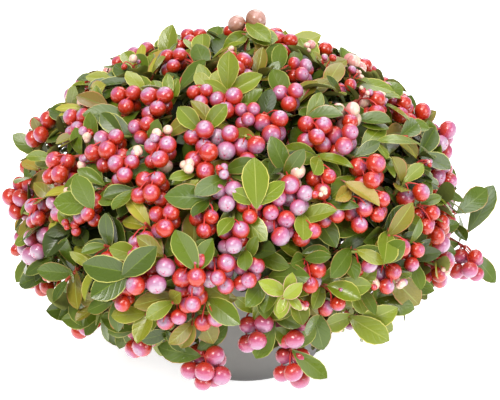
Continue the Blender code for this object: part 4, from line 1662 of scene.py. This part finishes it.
def cutDrainHoles(piece):
    shape = bmesh.new()
    radius, circle = pot["drainRadius"], pot["drainCircle"]
    sizes = {"radius1": radius, "radius2": radius, "depth": pot["drainDepth"], "segments": pot["drainSides"]}
    for i in range(pot["drainHoles"]):
        a = 2 * math.pi * i / pot["drainHoles"]
        spot = Matrix.Translation((circle * math.cos(a), circle * math.sin(a), pot["floor"] / 2))
        bmesh.ops.create_cone(shape, cap_ends=True, matrix=spot, **sizes)
    mesh = bpy.data.meshes.new("drain")
    shape.to_mesh(mesh)
    shape.free()
    cutter = addObject("drain", mesh)
    cut = piece.modifiers.new("drain", "BOOLEAN")
    cut.operation, cut.solver, cut.object = "DIFFERENCE", "EXACT", cutter
    whole = piece.data
    piece.data = bpy.data.meshes.new_from_object(piece.evaluated_get(bpy.context.evaluated_depsgraph_get()))
    piece.modifiers.clear()
    bpy.data.objects.remove(cutter)
    bpy.data.meshes.remove(mesh)
    bpy.data.meshes.remove(whole)


def makePot():
    rimUnder = pot["height"] - pot["rimDepth"]
    rimOut = pot["topRadius"] + pot["rimWidth"]
    line = [
        (0, pot["floor"]),
        (potRadius(pot["floor"]) - pot["wall"], pot["floor"]),
        (pot["topRadius"] - pot["wall"], pot["height"]),
        (rimOut, pot["height"]),
        (rimOut, rimUnder),
        (potRadius(rimUnder), rimUnder - pot["rimSlope"]),
        (potRadius(0.0), 0.0),
        (0, 0),
    ]
    profile = [line[0]]
    for before, corner, after, size in zip(line, line[1:], line[2:], pot["rounding"]):
        profile += rounded(corner, before, after, size)
    profile.append(line[-1])
    points, faceSets = turnedShape(profile, pot["sides"])
    cutDrainHoles(makePiece("pot_shell", points, faceSets, ["pot_plastic"], ["pot"], sharp=45))


def makeSoil():
    wallGap, footGap, floorGap = soilRule["gaps"]
    top = pot["height"] - pot["soilBelowRim"]
    edge = potRadius(top) - pot["wall"] - wallGap
    foot = pot["floor"] + floorGap

    def surface(share):
        # how high it is at this share of its radius
        return top - pot["soilMound"] * share ** soilRule["slope"]

    profile = [(0, top)]
    for i in range(1, soilRule["rows"] + 1):
        share = i / soilRule["rows"]
        profile.append((edge * share, surface(share)))
    profile += [(potRadius(foot) - pot["wall"] - footGap, foot), (0, foot)]
    points, faceSets = turnedShape(profile, soilRule["sides"])
    onTop = points[:, 2] > surface(1) - 0.0005  # the points of the surface, not those of the foot
    for i in np.nonzero(onTop)[0]:
        spot = Vector(points[i])
        rim = min(1.0, (edge - math.hypot(spot.x, spot.y)) / soilRule["quietRim"])
        lumps = sum(noise.noise(spot * fine) * high for fine, high in soilRule["lumps"])
        points[i, 2] += max(0.0, rim) * lumps
    makePiece("soil_fill", points, faceSets, ["soil_mix"], ["soil"])
    crumbs = bmesh.new()
    for _ in range(soilRule["crumbs"]):
        around = rng.uniform(0, 2 * math.pi)
        out = edge * soilRule["crumbReach"] * math.sqrt(rng.random())
        if out < stemSizes["foot"] * soilRule["stemClear"]:
            continue
        size = rng.uniform(*soilRule["crumbRadius"])
        height = surface(out / edge) + size * soilRule["crumbLift"]
        spot = Matrix.Translation((out * math.cos(around), out * math.sin(around), height))
        made = bmesh.ops.create_icosphere(crumbs, subdivisions=1, radius=size, matrix=spot)
        middle = spot.translation
        for vertex in made["verts"]:
            vertex.co = middle + (vertex.co - middle) * rng.uniform(*soilRule["crumbUneven"])
    mesh = bpy.data.meshes.new("soil_crumbs")
    crumbs.to_mesh(mesh)
    crumbs.free()
    dressPiece("soil_crumbs", mesh, ["soil_mix"], ["soil"])


makePotFinish()
newFinish("soil_mix", soilRule["colour"], "soil")
makePot()
makeSoil()

# the floor glows a little, which keeps the shadows light
floorSizes = {"width": 6.0, "colour": "#fbfbfa", "light": "#ffffff", "glow": 0.7}


def makeFloor():
    _, shader = newFinish("floor_card", floorSizes["colour"], "floor")
    shader["Emission Color"].default_value = paint(floorSizes["light"])
    shader["Emission Strength"].default_value = floorSizes["glow"]
    mesh = bpy.data.meshes.new("floor")
    half = floorSizes["width"] / 2
    corners = [(x * half, y * half, 0) for x, y in ((-1, -1), (1, -1), (1, 1), (-1, 1))]
    mesh.from_pydata(corners, [], [(0, 1, 2, 3)])
    mesh.materials.append(finishes["floor_card"])
    addObject("floor", mesh)


makeFloor()
makeLamps()
makeCamera()
print("floor, lamps and camera made")
